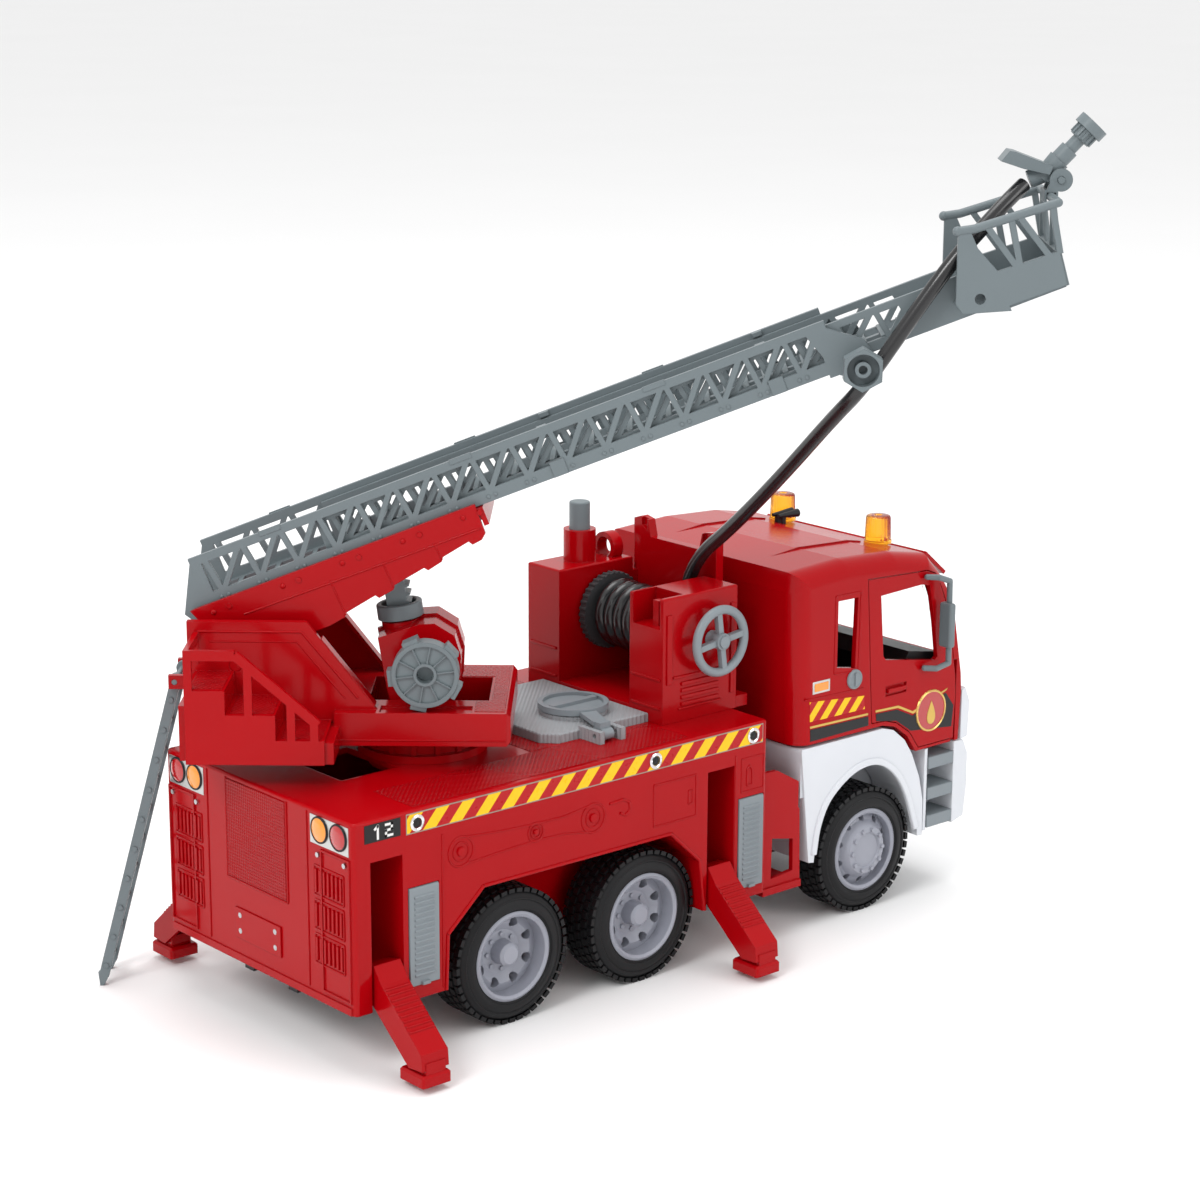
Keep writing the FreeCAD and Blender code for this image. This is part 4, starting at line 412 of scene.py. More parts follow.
def add_tyre(bm, x, side):
    outer, inner = WIDE[1] * side, WIDE[0] * side

    def y(depth):
        return outer - depth * side

    section = [(18.5, inner), (23.5, inner), (26.2, y(19.0)), (27.1, y(17.6)), (27.1, y(3.6)), (26.3, y(2.0)),
               (25.0, y(0.9)), (24.2, y(0.55)), (23.9, y(0.25)), (23.4, y(0.25)), (23.1, y(0.55)),
               (21.6, y(-0.15)), (20.3, y(-0.35)), (19.5, y(-0.2)), (19.2, y(0.3)), (18.5, y(0.6)),
               (18.5, inner)]
    add_lathe(bm, section, (x, 0, TYRE), (0, 1, 0), 72)
    rows = ((2.3, 2.4, 44), (6.1, 2.7, 44), (10.2, 2.7, 44), (14.3, 2.7, 44), (17.8, 2.2, 44))
    for number, (middle, width, count) in enumerate(rows):
        for k in range(count):
            turn = 2 * math.pi * (k + 0.5 * (number % 2)) / count
            block_box = Matrix.Translation((x, y(middle), TYRE)) @ Matrix.Rotation(turn, 4, "Y")
            corners = []
            for r in (TREAD_FOOT, TREAD_TOP):
                for across, length in ((-1, -1), (-1, 1), (1, 1), (1, -1)):
                    spot = Vector((length * BLOCK_HALF, across * width / 2, r))
                    corners.append(bm.verts.new(block_box @ spot))
            bm.faces.new(corners[4:8])
            for a, b in ((0, 1), (1, 2), (2, 3), (3, 0)):
                bm.faces.new((corners[a], corners[b], corners[b + 4], corners[a + 4]))


for place, x in (("rear", 79.1), ("middle", 147.8), ("front", 277.2)):
    bm = bmesh.new()
    for side in (1, -1):
        add_tyre(bm, x, side)
    tyres = settle(bm, f"tyre_pair_{place}", TRUCK, f"axle_{place}", rubber)
    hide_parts(f"tyres_{place}")
print("tyres", 6)

# %% [markdown]
# The beacons are amber covers with fine upright ribs that scatter the light. A plain cone would look
# like a bottle cap, so the lens is turned with a radius that goes in and out 20 times round, and it
# stands on a solid base ring.

# %% Beacons
def add_ribbed_lens(bm, x, y, base, top, radius, ribs=20):
    steps = ribs * 4
    levels = [(radius * 1.06, base), (radius * 1.06, base + 1.4), (radius * 0.98, base + 1.6),
              (radius * 0.93, top - 1.2), (radius * 0.86, top - 0.3), (radius * 0.70, top),
              (radius * 0.30, top), (radius * 0.26, top - 0.6), (0.05, top - 0.6)]
    rings = []
    for level, (r, z) in enumerate(levels):
        ring = []
        for k in range(steps):
            turn = 2 * math.pi * k / steps
            wave = 0.028 * math.cos(ribs * turn) if 2 <= level <= 5 else 0.0
            reach = r * (1 + wave)
            ring.append(bm.verts.new((x + reach * math.cos(turn), y + reach * math.sin(turn), z)))
        rings.append(ring)
    for lower, upper in zip(rings, rings[1:]):
        for k in range(steps):
            j = (k + 1) % steps
            bm.faces.new((lower[k], lower[j], upper[j], upper[k]))
    bm.faces.new(rings[0])
    bm.faces.new(rings[-1])


bm = bmesh.new()
beacon_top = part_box("beacons")[1].z * 1000
for y in (-30.0, 30.0):
    add_ribbed_lens(bm, 311.5, y, beacon_top - 12.6, beacon_top, 5.8)
lenses = settle(bm, "beacon_lenses", TRUCK, "truck", amber, angle=50)
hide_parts("beacons")
print("beacon top", round(beacon_top, 1), "mm")

# %% [markdown]
# The hose is a plain black vinyl tube. It is wound on the reel, leaves the front of the winding
# upwards, passes over the tower and up past the ladder's knob, and goes through the open back of the
# basket into the monitor. A curve's points say where the tube goes, and NURBS makes one smooth line
# of them. The turns on the reel are more points of the same curve. The finished curve is turned into
# a mesh: the line before the bevel is the hose's path, and the line with it is the tube.

# %% Hose
HOSE = 5.9
REEL = (199.5, 133.5)
WINDING = 12.0
TURNS = 5
PER_TURN = 16
WOUND_FROM, WOUND_OVER = 16.2, 29.2
route = []
for k in range(TURNS * PER_TURN + 1):
    turn = 2 * math.pi * (k / PER_TURN - TURNS)
    y = WOUND_FROM - WOUND_OVER * k / (TURNS * PER_TURN)
    route.append((REEL[0] + WINDING * math.cos(turn), y, REEL[1] + WINDING * math.sin(turn)))
route += [(211.6, -13.6, 147.0), (211.2, -21.5, 163.0), (208.5, -45.0, 180.0), (204.5, -77.2, 206.9),
          (198.3, -112.0, 237.0), (195.2, -130.2, 251.4), (208.0, -141.0, 276.8), (221.9, -150.7, 300.9),
          (233.8, -154.1, 312.2), (245.0, -155.4, 321.2), (253.9, -155.8, 326.9)]
hose_curve = bpy.data.curves.new("hose_line", "CURVE")
hose_curve.dimensions = "3D"
hose_curve.resolution_u = 8
line = hose_curve.splines.new("NURBS")
line.points.add(len(route) - 1)
for point, place in zip(line.points, route):
    point.co = (*(TRUCK @ Vector(place)), 1)
line.order_u = 3
line.use_endpoint_u = True
hose_line = bpy.data.objects.new("hose_line", hose_curve)
bpy.context.scene.collection.objects.link(hose_line)
bpy.context.view_layer.update()
thread = bpy.data.meshes.new_from_object(hose_line)
hose_curve.bevel_depth = HOSE / 2000
hose_curve.bevel_resolution = 6
hose_curve.use_fill_caps = True
bpy.context.view_layer.update()
depsgraph = bpy.context.evaluated_depsgraph_get()
hose_mesh = bpy.data.meshes.new_from_object(hose_line.evaluated_get(depsgraph))
bpy.data.objects.remove(hose_line)
hose_piece = bpy.data.objects.new("water_hose", hose_mesh)
bpy.context.scene.collection.objects.link(hose_piece)
for face in hose_mesh.polygons:
    face.use_smooth = True
vinyl = moulded("black_vinyl", (0.008, 0.008, 0.009), 0.24, coat=0.2, grain=900.0, edge=0.0001)
hose_mesh.materials.clear()
hose_mesh.materials.append(vinyl)
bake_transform(hose_piece)
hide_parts("hose", "hose_coil")
print("hose points", len(route))

# %% [markdown]
# The yellow and red warning stripe is a printed sticker along each side, with a thin grey edge. The
# slanted bars come from the material: position along the side plus position up it, divided by the
# bar's spacing, and the fraction of that says which colour. The sticker itself is a real thin sheet.

# %% Warning stripe
def hazard(name, spacing, slant):
    material, nodes, links, shader = new_material(name)
    coords = nodes.new("ShaderNodeTexCoord").outputs["Object"]
    split = nodes.new("ShaderNodeSeparateXYZ")
    links.new(coords, split.inputs["Vector"])

    def maths(operation, a, b):
        node = nodes.new("ShaderNodeMath")
        node.operation = operation
        for socket, value in zip(node.inputs, (a, b)):
            if isinstance(value, float):
                socket.default_value = value
            else:
                links.new(value, socket)
        return node.outputs["Value"]

    slope = maths("MULTIPLY", split.outputs["Z"], slant)
    step = maths("DIVIDE", maths("ADD", split.outputs["X"], slope), spacing)
    bar = maths("GREATER_THAN", maths("FRACT", step, 0.0), 0.5)
    ink = noise(nodes, links, coords, 500.0)
    yellow = two_tone(nodes, links, ink.outputs["Fac"], (0.80, 0.46, 0.004), (0.86, 0.52, 0.006))
    node = nodes.new("ShaderNodeMix")
    node.data_type = "RGBA"
    links.new(bar, node.inputs[0])
    node.inputs[6].default_value = (0.40, 0.002, 0.005, 1)
    links.new(yellow, node.inputs[7])
    links.new(node.outputs[2], shader.inputs["Base Color"])
    links.new(spread(nodes, links, ink.outputs["Fac"], 0.26, 0.34), shader.inputs["Roughness"])
    shader.inputs["Specular IOR Level"].default_value = 0.25
    return material


side_hazard = hazard("printed_stripe", 0.0126, -0.9)
FACE = 63.5


def thin_sheet(name, x0, x1, z0, z1, depth, material, side):
    bm = bmesh.new()
    y0, y1 = sorted((side * (FACE - 0.05), side * (FACE + depth)))
    add_box(bm, (x0, y0, z0), (x1, y1, z1))
    settle(bm, name, TRUCK, "truck", material)


sticker_edge = moulded("sticker_edge", (0.30, 0.27, 0.22), 0.30)
for side, word in ((-1, "right"), (1, "left")):
    thin_sheet(f"stripe_edge_{word}", 24.6, 210.4, 91.2, 99.4, 0.08, sticker_edge, side)
    thin_sheet(f"stripe_{word}", 25.0, 210.0, 91.7, 98.9, 0.16, side_hazard, side)
print("stripe length", 185, "mm")

# %% [markdown]
# Three bright tie rings sit in each stripe. A ring with a dark middle reads as a lashing eye, so each
# is a small turned washer and a dished black centre.

# %% Tie rings
bm = bmesh.new()
eyes = bmesh.new()
for side in (-1, 1):
    for x in (29.6, 150.2, 204.6):
        add_lathe(bm, [(2.0, -0.1), (3.4, -0.1), (3.3, 0.5), (2.7, 0.8), (2.1, 0.5), (2.0, -0.1)],
                  (x, side * (FACE + 0.1), 95.2), (0, side, 0), 32)
        add_lathe(eyes, [(2.1, 0.0), (1.6, 0.25), (0.7, 0.1), (0.02, 0.4)],
                  (x, side * (FACE + 0.1), 95.2), (0, side, 0), 24)
settle(bm, "tie_rings", TRUCK, "truck", chrome)
settle(eyes, "tie_ring_eyes", TRUCK, "truck", black)
print("tie rings", 6)

# %% [markdown]
# A fleet number sits behind the stripe, light figures on a black patch. The figures are drawn as
# short thick strokes, which keeps them plain and clear at this size.

# %% Fleet number
STROKES = {"1": [((0.2, 0.8), (0.55, 1.0)), ((0.55, 1.0), (0.55, 0.0))],
           "2": [((0.1, 0.95), (0.85, 0.95)), ((0.85, 0.95), (0.85, 0.52)), ((0.85, 0.52), (0.1, 0.48)),
                 ((0.1, 0.48), (0.1, 0.04)), ((0.1, 0.04), (0.9, 0.04))]}
print_white = moulded("print_white", (0.78, 0.78, 0.76), 0.35)
for side, word in ((-1, "right"), (1, "left")):
    thin_sheet(f"number_patch_{word}", 5.2, 22.0, 91.8, 99.0, 0.10, black, side)
    bm = bmesh.new()
    for place, figure in enumerate("12"):
        left_edge = 9.4 + 5.4 * place if side < 0 else 17.8 - 5.4 * place
        for (u0, v0), (u1, v1) in STROKES[figure]:
            start = Vector((left_edge + u0 * 3.6 * -side, side * (FACE + 0.14), 93.0 + v0 * 4.8))
            end = Vector((left_edge + u1 * 3.6 * -side, side * (FACE + 0.14), 93.0 + v1 * 4.8))
            run = end - start
            across = Vector((-run.z, 0, run.x)).normalized() * 0.5
            reach = run.normalized() * 0.5
            flat = [start - reach + across, end + reach + across,
                    end + reach - across, start - reach - across]
            near = [bm.verts.new(p) for p in flat]
            far = [bm.verts.new(p + Vector((0, 0.08 * side, 0))) for p in flat]
            bm.faces.new(near)
            bm.faces.new(far)
            for k in range(4):
                bm.faces.new((near[k], near[(k + 1) % 4], far[(k + 1) % 4], far[k]))
    settle(bm, f"number_{word}", TRUCK, "truck", print_white)
print("fleet number 12 on both sides")

# %% [markdown]
# The body side carries moulded reliefs: a strap run over three pulleys with a hook, a small door, and
# a lip round the wheel arch. Reliefs are raised lines of plastic, so they are swept bars half sunk
# into the wall, in the same red as the body.

# %% Side reliefs
def add_line(bm, points, radius, sides=8):
    for start, end in zip(points, points[1:]):
        add_bar(bm, start, end, radius, sides)


def ring_points(x, z, radius, y, count=28):
    turns = [2 * math.pi * k / count for k in range(count + 1)]
    return [(x + radius * math.cos(turn), y, z + radius * math.sin(turn)) for turn in turns]


def add_outline(bm, y, x0, x1, z0, z1, radius):
    add_line(bm, [(x0, y, z0), (x1, y, z0), (x1, y, z1), (x0, y, z1), (x0, y, z0)], radius)


ARCH_LIP = ((43.0, 24.6), (44.0, 47.0), (61.6, 62.6), (159.2, 62.2), (175.2, 47.2), (178.4, 24.6))
for side, word in ((-1, "right"), (1, "left")):
    y = side * FACE
    bm = bmesh.new()
    for x, z, radius in ((50.6, 79.0, 6.0), (87.7, 78.7, 3.8), (117.3, 78.1, 6.0)):
        add_line(bm, ring_points(x, z, radius, y), 0.45)
        add_line(bm, ring_points(x, z, radius * 0.62, y), 0.4)
        add_lathe(bm, [(radius * 0.34, -0.1), (radius * 0.30, 0.7), (0.02, 0.9)], (x, y, z), (0, side, 0), 20)
    for upper in (1, -1):
        add_line(bm, [(52.0, y, 79.0 + upper * 5.6), (70.0, y, 78.8 + upper * 4.2),
                      (87.7, y, 78.7 + upper * 3.4), (102.0, y, 78.4 + upper * 3.6),
                      (116.0, y, 78.1 + upper * 5.6)], 0.4)
    add_line(bm, [(126.0, y, 82.0), (133.0, y, 82.4), (136.5, y, 80.6), (136.8, y, 77.4),
                  (134.2, y, 75.6), (131.4, y, 77.0)], 0.6)
    add_outline(bm, y, 149.6, 172.8, 67.2, 84.8, 0.4)
    add_outline(bm, y, 168.6, 170.8, 73.0, 78.6, 0.35)
    add_line(bm, [(x, y, z) for x, z in ARCH_LIP], 0.8)
    add_line(bm, [(41.6, y, 26.0), (41.6, y, 88.0)], 0.4)
    add_line(bm, [(195.0, y, 26.0), (195.0, y, 88.0)], 0.4)
    add_outline(bm, y, 198.4, 211.0, 71.6, 86.0, 0.35)
    add_line(bm, [(201.5, y, 74.0), (201.5, y, 80.4), (203.0, y, 82.6), (204.5, y, 80.4),
                  (204.5, y, 74.0), (201.5, y, 74.0)], 0.5)
    settle(bm, f"side_relief_{word}", TRUCK, "truck", red, angle=60)
print("side reliefs made")

# %% [markdown]
# The white fender ends round the front wheel in a smooth rolled lip. The moulding under it is made of
# short straight runs, so the lip is one strip swept along a curve through their corners. A curve
# of the Catmull-Rom kind passes through each corner, and sixteen short steps between two of them look
# round.

# %% Fender lip
LIP_STEPS = 16


def through(points):
    """Points along a smooth curve that passes through all the given ones."""
    ends = [2 * points[0] - points[1], *points, 2 * points[-1] - points[-2]]
    line = []
    for a, b, c, d in zip(ends, ends[1:], ends[2:], ends[3:]):
        for k in range(LIP_STEPS):
            t = k / LIP_STEPS
            line.append(0.5 * (2 * b + (c - a) * t + (2 * a - 5 * b + 4 * c - d) * t ** 2
                               + (3 * b - a - 3 * c + d) * t ** 3))
    return line + [points[-1]]


def add_strip(bm, line, inside, outside, near, far):
    """A flat strip along a line in the side plane, from inside to outside across it."""
    rings = []
    for k, point in enumerate(line):
        along = (line[min(k + 1, len(line) - 1)] - line[max(k - 1, 0)]).normalized()
        out = Vector((-along.y, along.x))
        rings.append([bm.verts.new((spot.x, y, spot.y)) for spot, y in (
            (point + out * inside, near), (point + out * outside, near),
            (point + out * outside, far), (point + out * inside, far))])
    for here, there in zip(rings, rings[1:]):
        for j in range(4):
            m = (j + 1) % 4
            bm.faces.new((here[j], there[j], there[m], here[m]))
    bm.faces.new(rings[0])
    bm.faces.new(rings[-1][::-1])


FENDER = [Vector(p) for p in ((245.0, 33.0), (247.6, 46.0), (254.0, 57.0), (267.4, 65.6),
                              (281.0, 67.0), (292.4, 61.0), (301.0, 49.0), (307.6, 31.0))]
for side, word in ((-1, "right"), (1, "left")):
    bm = bmesh.new()
    add_strip(bm, through(FENDER), -0.7, 2.4, side * 59.6, side * 61.9)
    settle(bm, f"fender_lip_{word}", TRUCK, "truck", white, soft=0.5)
print("fender lips made, each with", LIP_STEPS * (len(FENDER) - 1), "steps")

# %% [markdown]
# The back of the body has a fine meshed panel in the middle, a plain plate under it, and a stack of
# three louvres each side. A louvre is a shallow frame with upright blades, so each one is a
# frame of thin bars with seven boxes standing in it.

# %% Back wall
bm = bmesh.new()
add_box(bm, (-0.5, -20.0, 58.6), (0.1, 20.0, 98.6))
settle(bm, "rear_mesh_panel", TRUCK, "truck", rear_mesh, soft=0.2)
bm = bmesh.new()
add_line(bm, [(-0.1, -20.6, 58.0), (-0.1, 20.6, 58.0), (-0.1, 20.6, 99.0)], 0.5)
add_line(bm, [(-0.1, -20.6, 99.0), (-0.1, -20.6, 58.0)], 0.5)
add_box(bm, (-0.7, -15.6, 34.2), (0.1, 15.6, 46.8))
for y in (-34.0, 34.0):
    add_line(bm, [(-0.1, y, 28.5), (-0.1, y, 99.0)], 0.4)
for side in (-1, 1):
    for z in (39.5, 53.2, 66.9):
        y0, y1 = sorted((side * 38.6, side * 57.2))
        corners = [(-0.1, y0, z), (-0.1, y1, z), (-0.1, y1, z + 11.8), (-0.1, y0, z + 11.8), (-0.1, y0, z)]
        add_line(bm, corners, 0.45)
        for k in range(7):
            y = y0 + (y1 - y0) * (k + 0.5) / 7
            add_box(bm, (-0.75, y - 0.55, z + 1.2), (0.1, y + 0.55, z + 10.6))
settle(bm, "rear_reliefs", TRUCK, "truck", red, soft=0.15)
print("louvres", 6)

# %% [markdown]
# The rear lamps are printed silver plates with two round lenses each, amber towards the middle and red
# outside. The lenses are domed a little so that they catch a highlight of their own.

# %% Rear lamps
silver_print = bright_metal("lamp_plate", (0.62, 0.62, 0.60), 0.34)


def glossy_lens(name, colour):
    return moulded(name, colour, 0.10, coat=0.8, edge=0.0001)


amber_print = glossy_lens("amber_print", (0.86, 0.27, 0.006))
red_print = glossy_lens("red_print", (0.42, 0.002, 0.004))
DOME = [(4.7, 0.0), (4.6, 0.5), (3.6, 0.95), (2.0, 1.2), (0.02, 1.3)]
BEZEL = [(4.6, 0.0), (5.4, 0.0), (5.3, 0.5), (4.9, 0.7), (4.6, 0.5), (4.6, 0.0)]
for side, word in ((-1, "right"), (1, "left")):
    bm = bmesh.new()
    y0, y1 = sorted((side * 36.4, side * 60.8))
    add_box(bm, (-0.25, y0, 87.2), (0.1, y1, 98.6))
    settle(bm, f"lamp_plate_{word}", TRUCK, "truck", silver_print, soft=0.1)
    for middle, material, colour_word in ((42.6, amber_print, "amber"), (54.6, red_print, "red")):
        bm = bmesh.new()
        add_lathe(bm, DOME, (-0.2, side * middle, 93.4), (-1, 0, 0), 40)
        settle(bm, f"lamp_{colour_word}_{word}", TRUCK, "truck", material)
    bm = bmesh.new()
    for middle in (42.6, 54.6):
        add_lathe(bm, BEZEL, (-0.2, side * middle, 93.4), (-1, 0, 0), 40)
    settle(bm, f"lamp_bezels_{word}", TRUCK, "truck", black)
print("rear lamps", 4)

# %% [markdown]
# The deck is treaded along both sides and behind the turntable, with a plain border. Thin plates with
# the tread finish sit just proud of the deck, as the moulded texture does.

# %% Deck treads
bm = bmesh.new()
DECK = 100.5
for y0, y1 in ((-60.5, -36.0), (36.0, 60.5)):
    add_box(bm, (30.0, y0, DECK - 0.1), (170.5, y1, DECK + 0.15))
add_box(bm, (108.5, -35.0, DECK - 0.1), (117.6, 35.0, DECK + 0.15))
settle(bm, "deck_treads", TRUCK, "truck", deck_tread)
print("deck tread area made")

# %% [markdown]
# The turntable's deck, its stairs and its side panels are walked on too. Each tread plate here is
# drawn in the turntable's own frame, so it lies square on the swung part, and rides with it.

# %% Turntable treads
SWUNG = 41.5
table_tread = treaded("red_table_tread", (0.33, 0.0005, 0.003), 0.26, 0.0015,
                      tilt=(0, 0, math.radians(SWUNG + 45)))
bm = bmesh.new()
STEPS = ((-84.5, -71.5, 139.8), (-69.0, -52.4, 130.2), (-50.0, -34.0, 120.2))
for side in (-1, 1):
    for a0, a1, z in STEPS:
        b0, b1 = sorted((side * 32.4, side * 57.4))
        add_box(bm, (a0, b0, z - 0.1), (a1, b1, z + 0.15))
    b0, b1 = sorted((side * 18.0, side * 33.0))
    add_box(bm, (-12.5 if side > 0 else 23.0, b0, 124.3), (35.0, b1, 124.55))
add_box(bm, (29.0, -18.0, 124.3), (35.0, 18.0, 124.55))
settle(bm, "table_treads", TABLE, "turntable", table_tread)
print("stair treads", 6)

# %% [markdown]
# The panels beside the stairs have a raised border, and a thin line runs along the turntable's edge.
# They are swept bars again, drawn in the turntable's own frame.

# %% Turntable reliefs
bm = bmesh.new()
for side in (-1, 1):
    b = side * 31.0
    add_line(bm, [(-84.5, b, 143.0), (-84.5, b, 155.6), (-44.0, b, 155.6), (-22.5, b, 129.0)], 0.5)
    add_line(bm, [(-80.0, b, 151.6), (-45.8, b, 151.6), (-27.5, b, 129.0)], 0.35)
    b = side * 35.8
    add_line(bm, [(-30.0, b, 113.4), (35.4, b, 113.4)], 0.35)
settle(bm, "table_reliefs", TABLE, "turntable", red, angle=60)
print("turntable reliefs made")

# %% [markdown]
# The boom's cradle is folded from the look of sheet metal: a crease runs along its side, and three
# panel joints drop from it to the steps in its lower edge. Fine raised lines show both.

# %% Cradle creases
bm = bmesh.new()
for side in (-1, 1):
    b = side * 21.4
    add_line(bm, [(-67.4, b, 160.1), (25.1, b, 195.1)], 0.4)
    for top, foot in (((-33.5, 173.9), (-27.6, 160.0)), ((-13.0, 181.5), (-8.6, 171.2)),
                      ((6.9, 189.1), (10.3, 182.6))):
        add_line(bm, [(top[0], b, top[1]), (foot[0], b, foot[1])], 0.35)
    for a, z in ((-79.4, 160.9), (-52.0, 171.6), (-28.6, 180.9), (-5.0, 189.8), (18.5, 199.2)):
        add_lathe(bm, [(1.1, 0.0), (1.0, 0.4), (0.5, 0.7), (0.02, 0.75)], (a, b, z), (0, side, 0), 16)
settle(bm, "cradle_creases", TABLE, "boom", red, angle=60)
print("cradle panel joints", 6)

# %% [markdown]
# Rivet heads run in pairs along the outer ladder's lower rail, one pair under each brace. They are
# low domes, turned from four rings, and they are merged into one piece because there are so many.

# %% Ladder rivets
bm = bmesh.new()
for side in (-1, 1):
    for k in range(16):
        for shift in (-1.3, 1.7):
            s = 8.2 + 16.05 * k + shift
            add_lathe(bm, [(0.85, 0.0), (0.8, 0.3), (0.5, 0.5), (0.02, 0.6)],
                      (s, side * 17.5, -18.4), (0, side, 0), 12)
    for s in (30.0, 110.0, 190.0):
        add_box(bm, (s, side * 17.2 - 0.5, -1.6), (s + 9.0, side * 17.2 + 0.5, 0.5))
settle(bm, "ladder_rivets", LADDER, "boom", ladder_grey)
print("rivets", 64)

# %% [markdown]
# The towers round the reel have a slatted vent low down, raised ribs at the corners and a band at
# half height. They are boxes half sunk in the wall with soft edges.

# %% Tower reliefs
bm = bmesh.new()
for face, side in ((42.5, -1), (44.3, 1)):
    y0, y1 = sorted((side * (face - 0.3), side * (face + 0.7)))
    add_box(bm, (174.8, y0, 117.5), (177.6, y1, 147.0))
    add_box(bm, (210.6, y0, 108.0), (212.6, y1, 147.0))
    for k in range(4):
        add_box(bm, (183.0, y0, 107.2 + 2.9 * k), (204.0, y1, 108.8 + 2.9 * k))
    add_box(bm, (181.4, y0, 105.8), (205.6, y1, 106.6))
    add_box(bm, (178.6, y0, 119.4), (209.4, y1, 120.4))
for y0, y1 in ((-41.0, -23.4), (25.4, 42.6)):
    add_box(bm, (172.2, y0, 106.8), (173.0, y1, 108.0))
    add_box(bm, (172.2, y0, 119.0), (173.0, y1, 120.2))
settle(bm, "tower_reliefs", TRUCK, "truck", red, soft=0.2)
print("tower reliefs made")

# %% [markdown]
# The cab carries its own stickers: a short warning stripe, a black band with a gold line that runs on
# over the door, and a round badge. What lies on the door rides on the door, so it opens with it.

# %% Cab stickers
CAB = 61.0
cab_hazard = hazard("printed_cab_stripe", 0.0088, -0.9)


def cab_sheet(name, outline, depth, material, side, body):
    bm = bmesh.new()
    y0, y1 = sorted((side * (CAB - 0.05), side * (CAB + depth)))
    add_prism(bm, outline, y0, y1)
    settle(bm, name, TRUCK, body, material)


gold_print = moulded("gold_print", (0.62, 0.40, 0.07), 0.30)
for side, word in ((-1, "right"), (1, "left")):
    door = f"door_{word}"
    cab_sheet(f"cab_stripe_{word}", [(240.4, 93.4), (273.6, 93.0), (273.0, 99.0), (240.0, 102.2)],
              0.12, cab_hazard, side, "truck")
    cab_sheet(f"cab_band_{word}", [(240.8, 84.6), (276.2, 85.0), (276.0, 89.2), (240.6, 89.9)],
              0.10, black, side, "truck")
    cab_sheet(f"cab_line_{word}", [(240.6, 90.4), (275.8, 89.8), (275.7, 90.7), (240.5, 91.4)],
              0.12, gold_print, side, "truck")
    cab_sheet(f"door_band_{word}", [(281.0, 86.0), (293.6, 83.8), (303.2, 77.4), (329.4, 74.4),
                                    (330.4, 84.0), (325.0, 90.8), (304.0, 84.2), (294.0, 88.8),
                                    (280.6, 89.4)], 0.10, black, side, door)
    cab_sheet(f"door_line_{word}", [(280.5, 90.0), (294.4, 89.5), (304.2, 85.0), (325.4, 91.8),
                                    (326.2, 92.8), (304.0, 86.2), (294.8, 90.5), (280.4, 91.0)],
              0.14, gold_print, side, door)
print("cab stickers", 10)

# %% [markdown]
# The badge is a plain round medal with a water drop. Its rim is turned as a ring, its field is a thin
# disc inside it, and the drop is a flat outline pushed out a little. All three ride on the door.

# %% Badge
BADGE_X, BADGE_Z = 315.6, 84.4
DROP_Z, DROP_POINTS = 83.6, 28
for side, word in ((-1, "right"), (1, "left")):
    centre = (BADGE_X, side * CAB, BADGE_Z)
    bm = bmesh.new()
    add_lathe(bm, [(8.6, 0.0), (9.6, 0.0), (9.4, 0.5), (8.9, 0.7), (8.5, 0.5), (8.6, 0.0)],
              centre, (0, side, 0), 48)
    settle(bm, f"badge_rim_{word}", TRUCK, f"door_{word}", gold)
    bm = bmesh.new()
    add_lathe(bm, [(8.7, 0.0), (8.7, 0.28), (0.02, 0.28)], centre, (0, side, 0), 48)
    settle(bm, f"badge_field_{word}", TRUCK, f"door_{word}", red_print)
    drop = [(BADGE_X + 3.6 * math.sin(t) * math.sin(t / 2) ** 1.3, DROP_Z + 5.4 * math.cos(t))
            for t in (2 * math.pi * k / DROP_POINTS for k in range(DROP_POINTS))]
    bm = bmesh.new()
    y0, y1 = sorted((side * (CAB + 0.2), side * (CAB + 0.45)))
    add_prism(bm, drop, y0, y1)
    settle(bm, f"badge_drop_{word}", TRUCK, f"door_{word}", gold_print)
print("badges", 2)

# %% [markdown]
# Small cab fittings: a side marker lamp with a silver rim, a round filler cap, a seam under them and
# the frame of the small window behind the door.

# %% Cab fittings
for side, word in ((-1, "right"), (1, "left")):
    y0, y1 = sorted((side * (CAB - 0.05), side * (CAB + 0.25)))
    bm = bmesh.new()
    add_box(bm, (241.6, y0, 105.2), (251.8, y1, 110.6))
    settle(bm, f"marker_rim_{word}", TRUCK, "truck", silver_print, soft=0.15)
    y0, y1 = sorted((side * (CAB - 0.05), side * (CAB + 0.6)))
    bm = bmesh.new()
    add_box(bm, (242.6, y0, 106.1), (250.8, y1, 109.7))
    settle(bm, f"marker_lens_{word}", TRUCK, "truck", amber_print, soft=0.4)
    bm = bmesh.new()
    add_lathe(bm, [(4.4, -0.1), (4.3, 0.8), (3.6, 1.2), (3.2, 0.9), (0.02, 0.9)],
              (266.6, side * CAB, 107.6), (0, side, 0), 36)
    y0, y1 = sorted((side * (CAB + 0.5), side * (CAB + 1.7)))
    add_box(bm, (266.0, y0, 104.8), (267.2, y1, 110.4))
    settle(bm, f"filler_cap_{word}", TRUCK, "truck", light_grey, soft=0.1)
    bm = bmesh.new()
    y = side * CAB
    add_line(bm, [(237.0, y, 103.6), (272.4, y, 102.6)], 0.3)
    add_line(bm, [(254.4, y, 112.0), (254.4, y, 146.0), (269.6, y, 145.8), (269.0, y, 111.0),
                  (254.4, y, 112.0)], 0.4)
    settle(bm, f"cab_relief_{word}", TRUCK, "truck", red, angle=60)
print("cab fittings made")

# %% [markdown]
# Two wipers lie at the foot of the windscreen and a blank plate sits on the bumper. Thin bars and one
# soft-edged plate do it, half sunk in what they are fixed to.

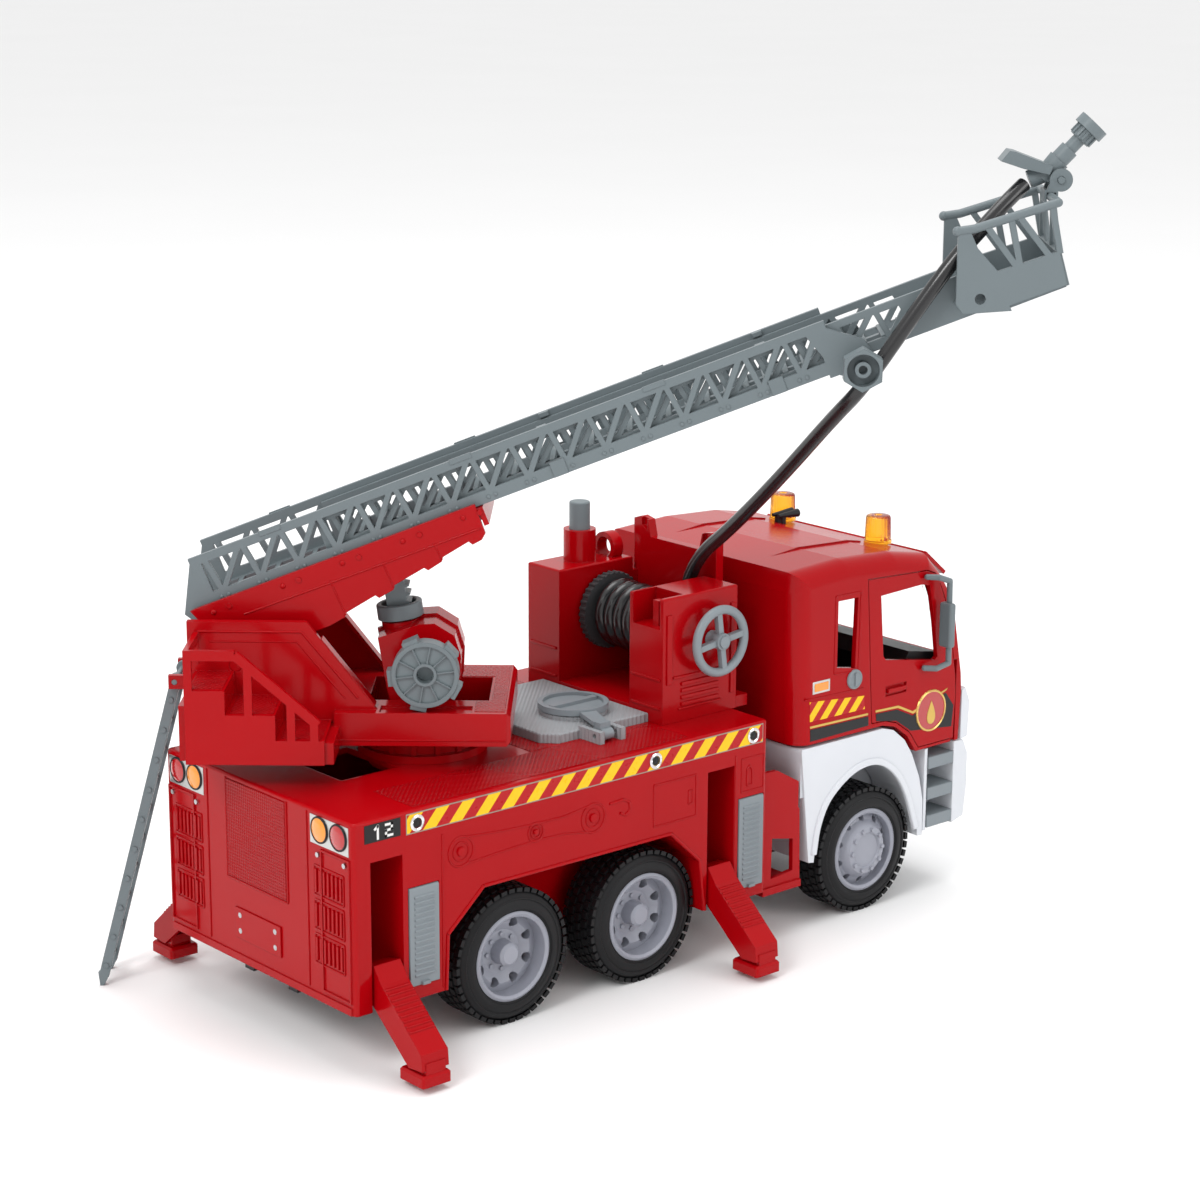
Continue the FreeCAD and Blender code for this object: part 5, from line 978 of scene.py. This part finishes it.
# %% Front fittings
bm = bmesh.new()
for y in (-24.0, 20.0):
    add_bar(bm, (332.4, y, 102.4), (331.2, y + 22.0, 108.6), 0.6)
    add_bar(bm, (332.2, y + 4.0, 103.6), (330.4, y + 22.5, 112.6), 0.35)
settle(bm, "wipers", TRUCK, "truck", black)
bm = bmesh.new()
add_box(bm, (340.3, -17.0, 61.4), (341.2, 17.0, 65.2))
settle(bm, "front_plate", TRUCK, "truck", print_white, soft=0.3)
print("front fittings made")

# %% [markdown]
# A plain pale floor shows the shapes without stealing attention. It is far wider than the truck, so
# its edge never comes into view.

# %% Floor
REACH = 40
floor_mesh = bpy.data.meshes.new("floor")
floor_mesh.from_pydata([(-REACH, -REACH, 0), (REACH, -REACH, 0), (REACH, REACH, 0), (-REACH, REACH, 0)],
                       [], [(0, 1, 2, 3)])
floor = bpy.data.objects.new("floor", floor_mesh)
bpy.context.scene.collection.objects.link(floor)
pale, nodes, links, shader = new_material("pale_floor")
floor_coords = nodes.new("ShaderNodeTexCoord").outputs["Object"]
paper = noise(nodes, links, floor_coords, 3.0)
links.new(two_tone(nodes, links, paper.outputs["Fac"], (0.86, 0.86, 0.86), (0.88, 0.88, 0.88)),
          shader.inputs["Base Color"])
shader.inputs["Roughness"].default_value = 0.9
shader.inputs["Specular IOR Level"].default_value = 0.05
floor_mesh.materials.append(pale)
print("floor made")

# %% [markdown]
# The light is soft, as in a studio. One large lamp is the key, a wider one opens the shadows from the
# right, a third lies above, and the pale world fills in. All three lamps are area lights, for broad
# soft highlights.

# %% Lights
def area_light(name, spot, target, size, power):
    data = bpy.data.lights.new(name, "AREA")
    data.shape = "DISK"
    data.size = size
    data.energy = power
    lamp = bpy.data.objects.new(name, data)
    bpy.context.scene.collection.objects.link(lamp)
    lamp.location = spot
    lamp.rotation_euler = (Vector(target) - Vector(spot)).to_track_quat("-Z", "Y").to_euler()


area_light("key", (-1.9, -0.5, 1.9), (0, 0, 0.12), 0.9, 25)
area_light("fill", (0.9, -2.2, 1.1), (0, 0, 0.12), 1.2, 11)
area_light("top", (0.2, 0.3, 2.2), (0, 0, 0.1), 1.4, 18)
world = bpy.data.worlds.new("studio")
bpy.context.scene.world = world
world.use_nodes = True
world.node_tree.nodes["Background"].inputs["Color"].default_value = (1.0, 1.0, 1.0, 1)
world.node_tree.nodes["Background"].inputs["Strength"].default_value = 1.0
print("lights", 3)
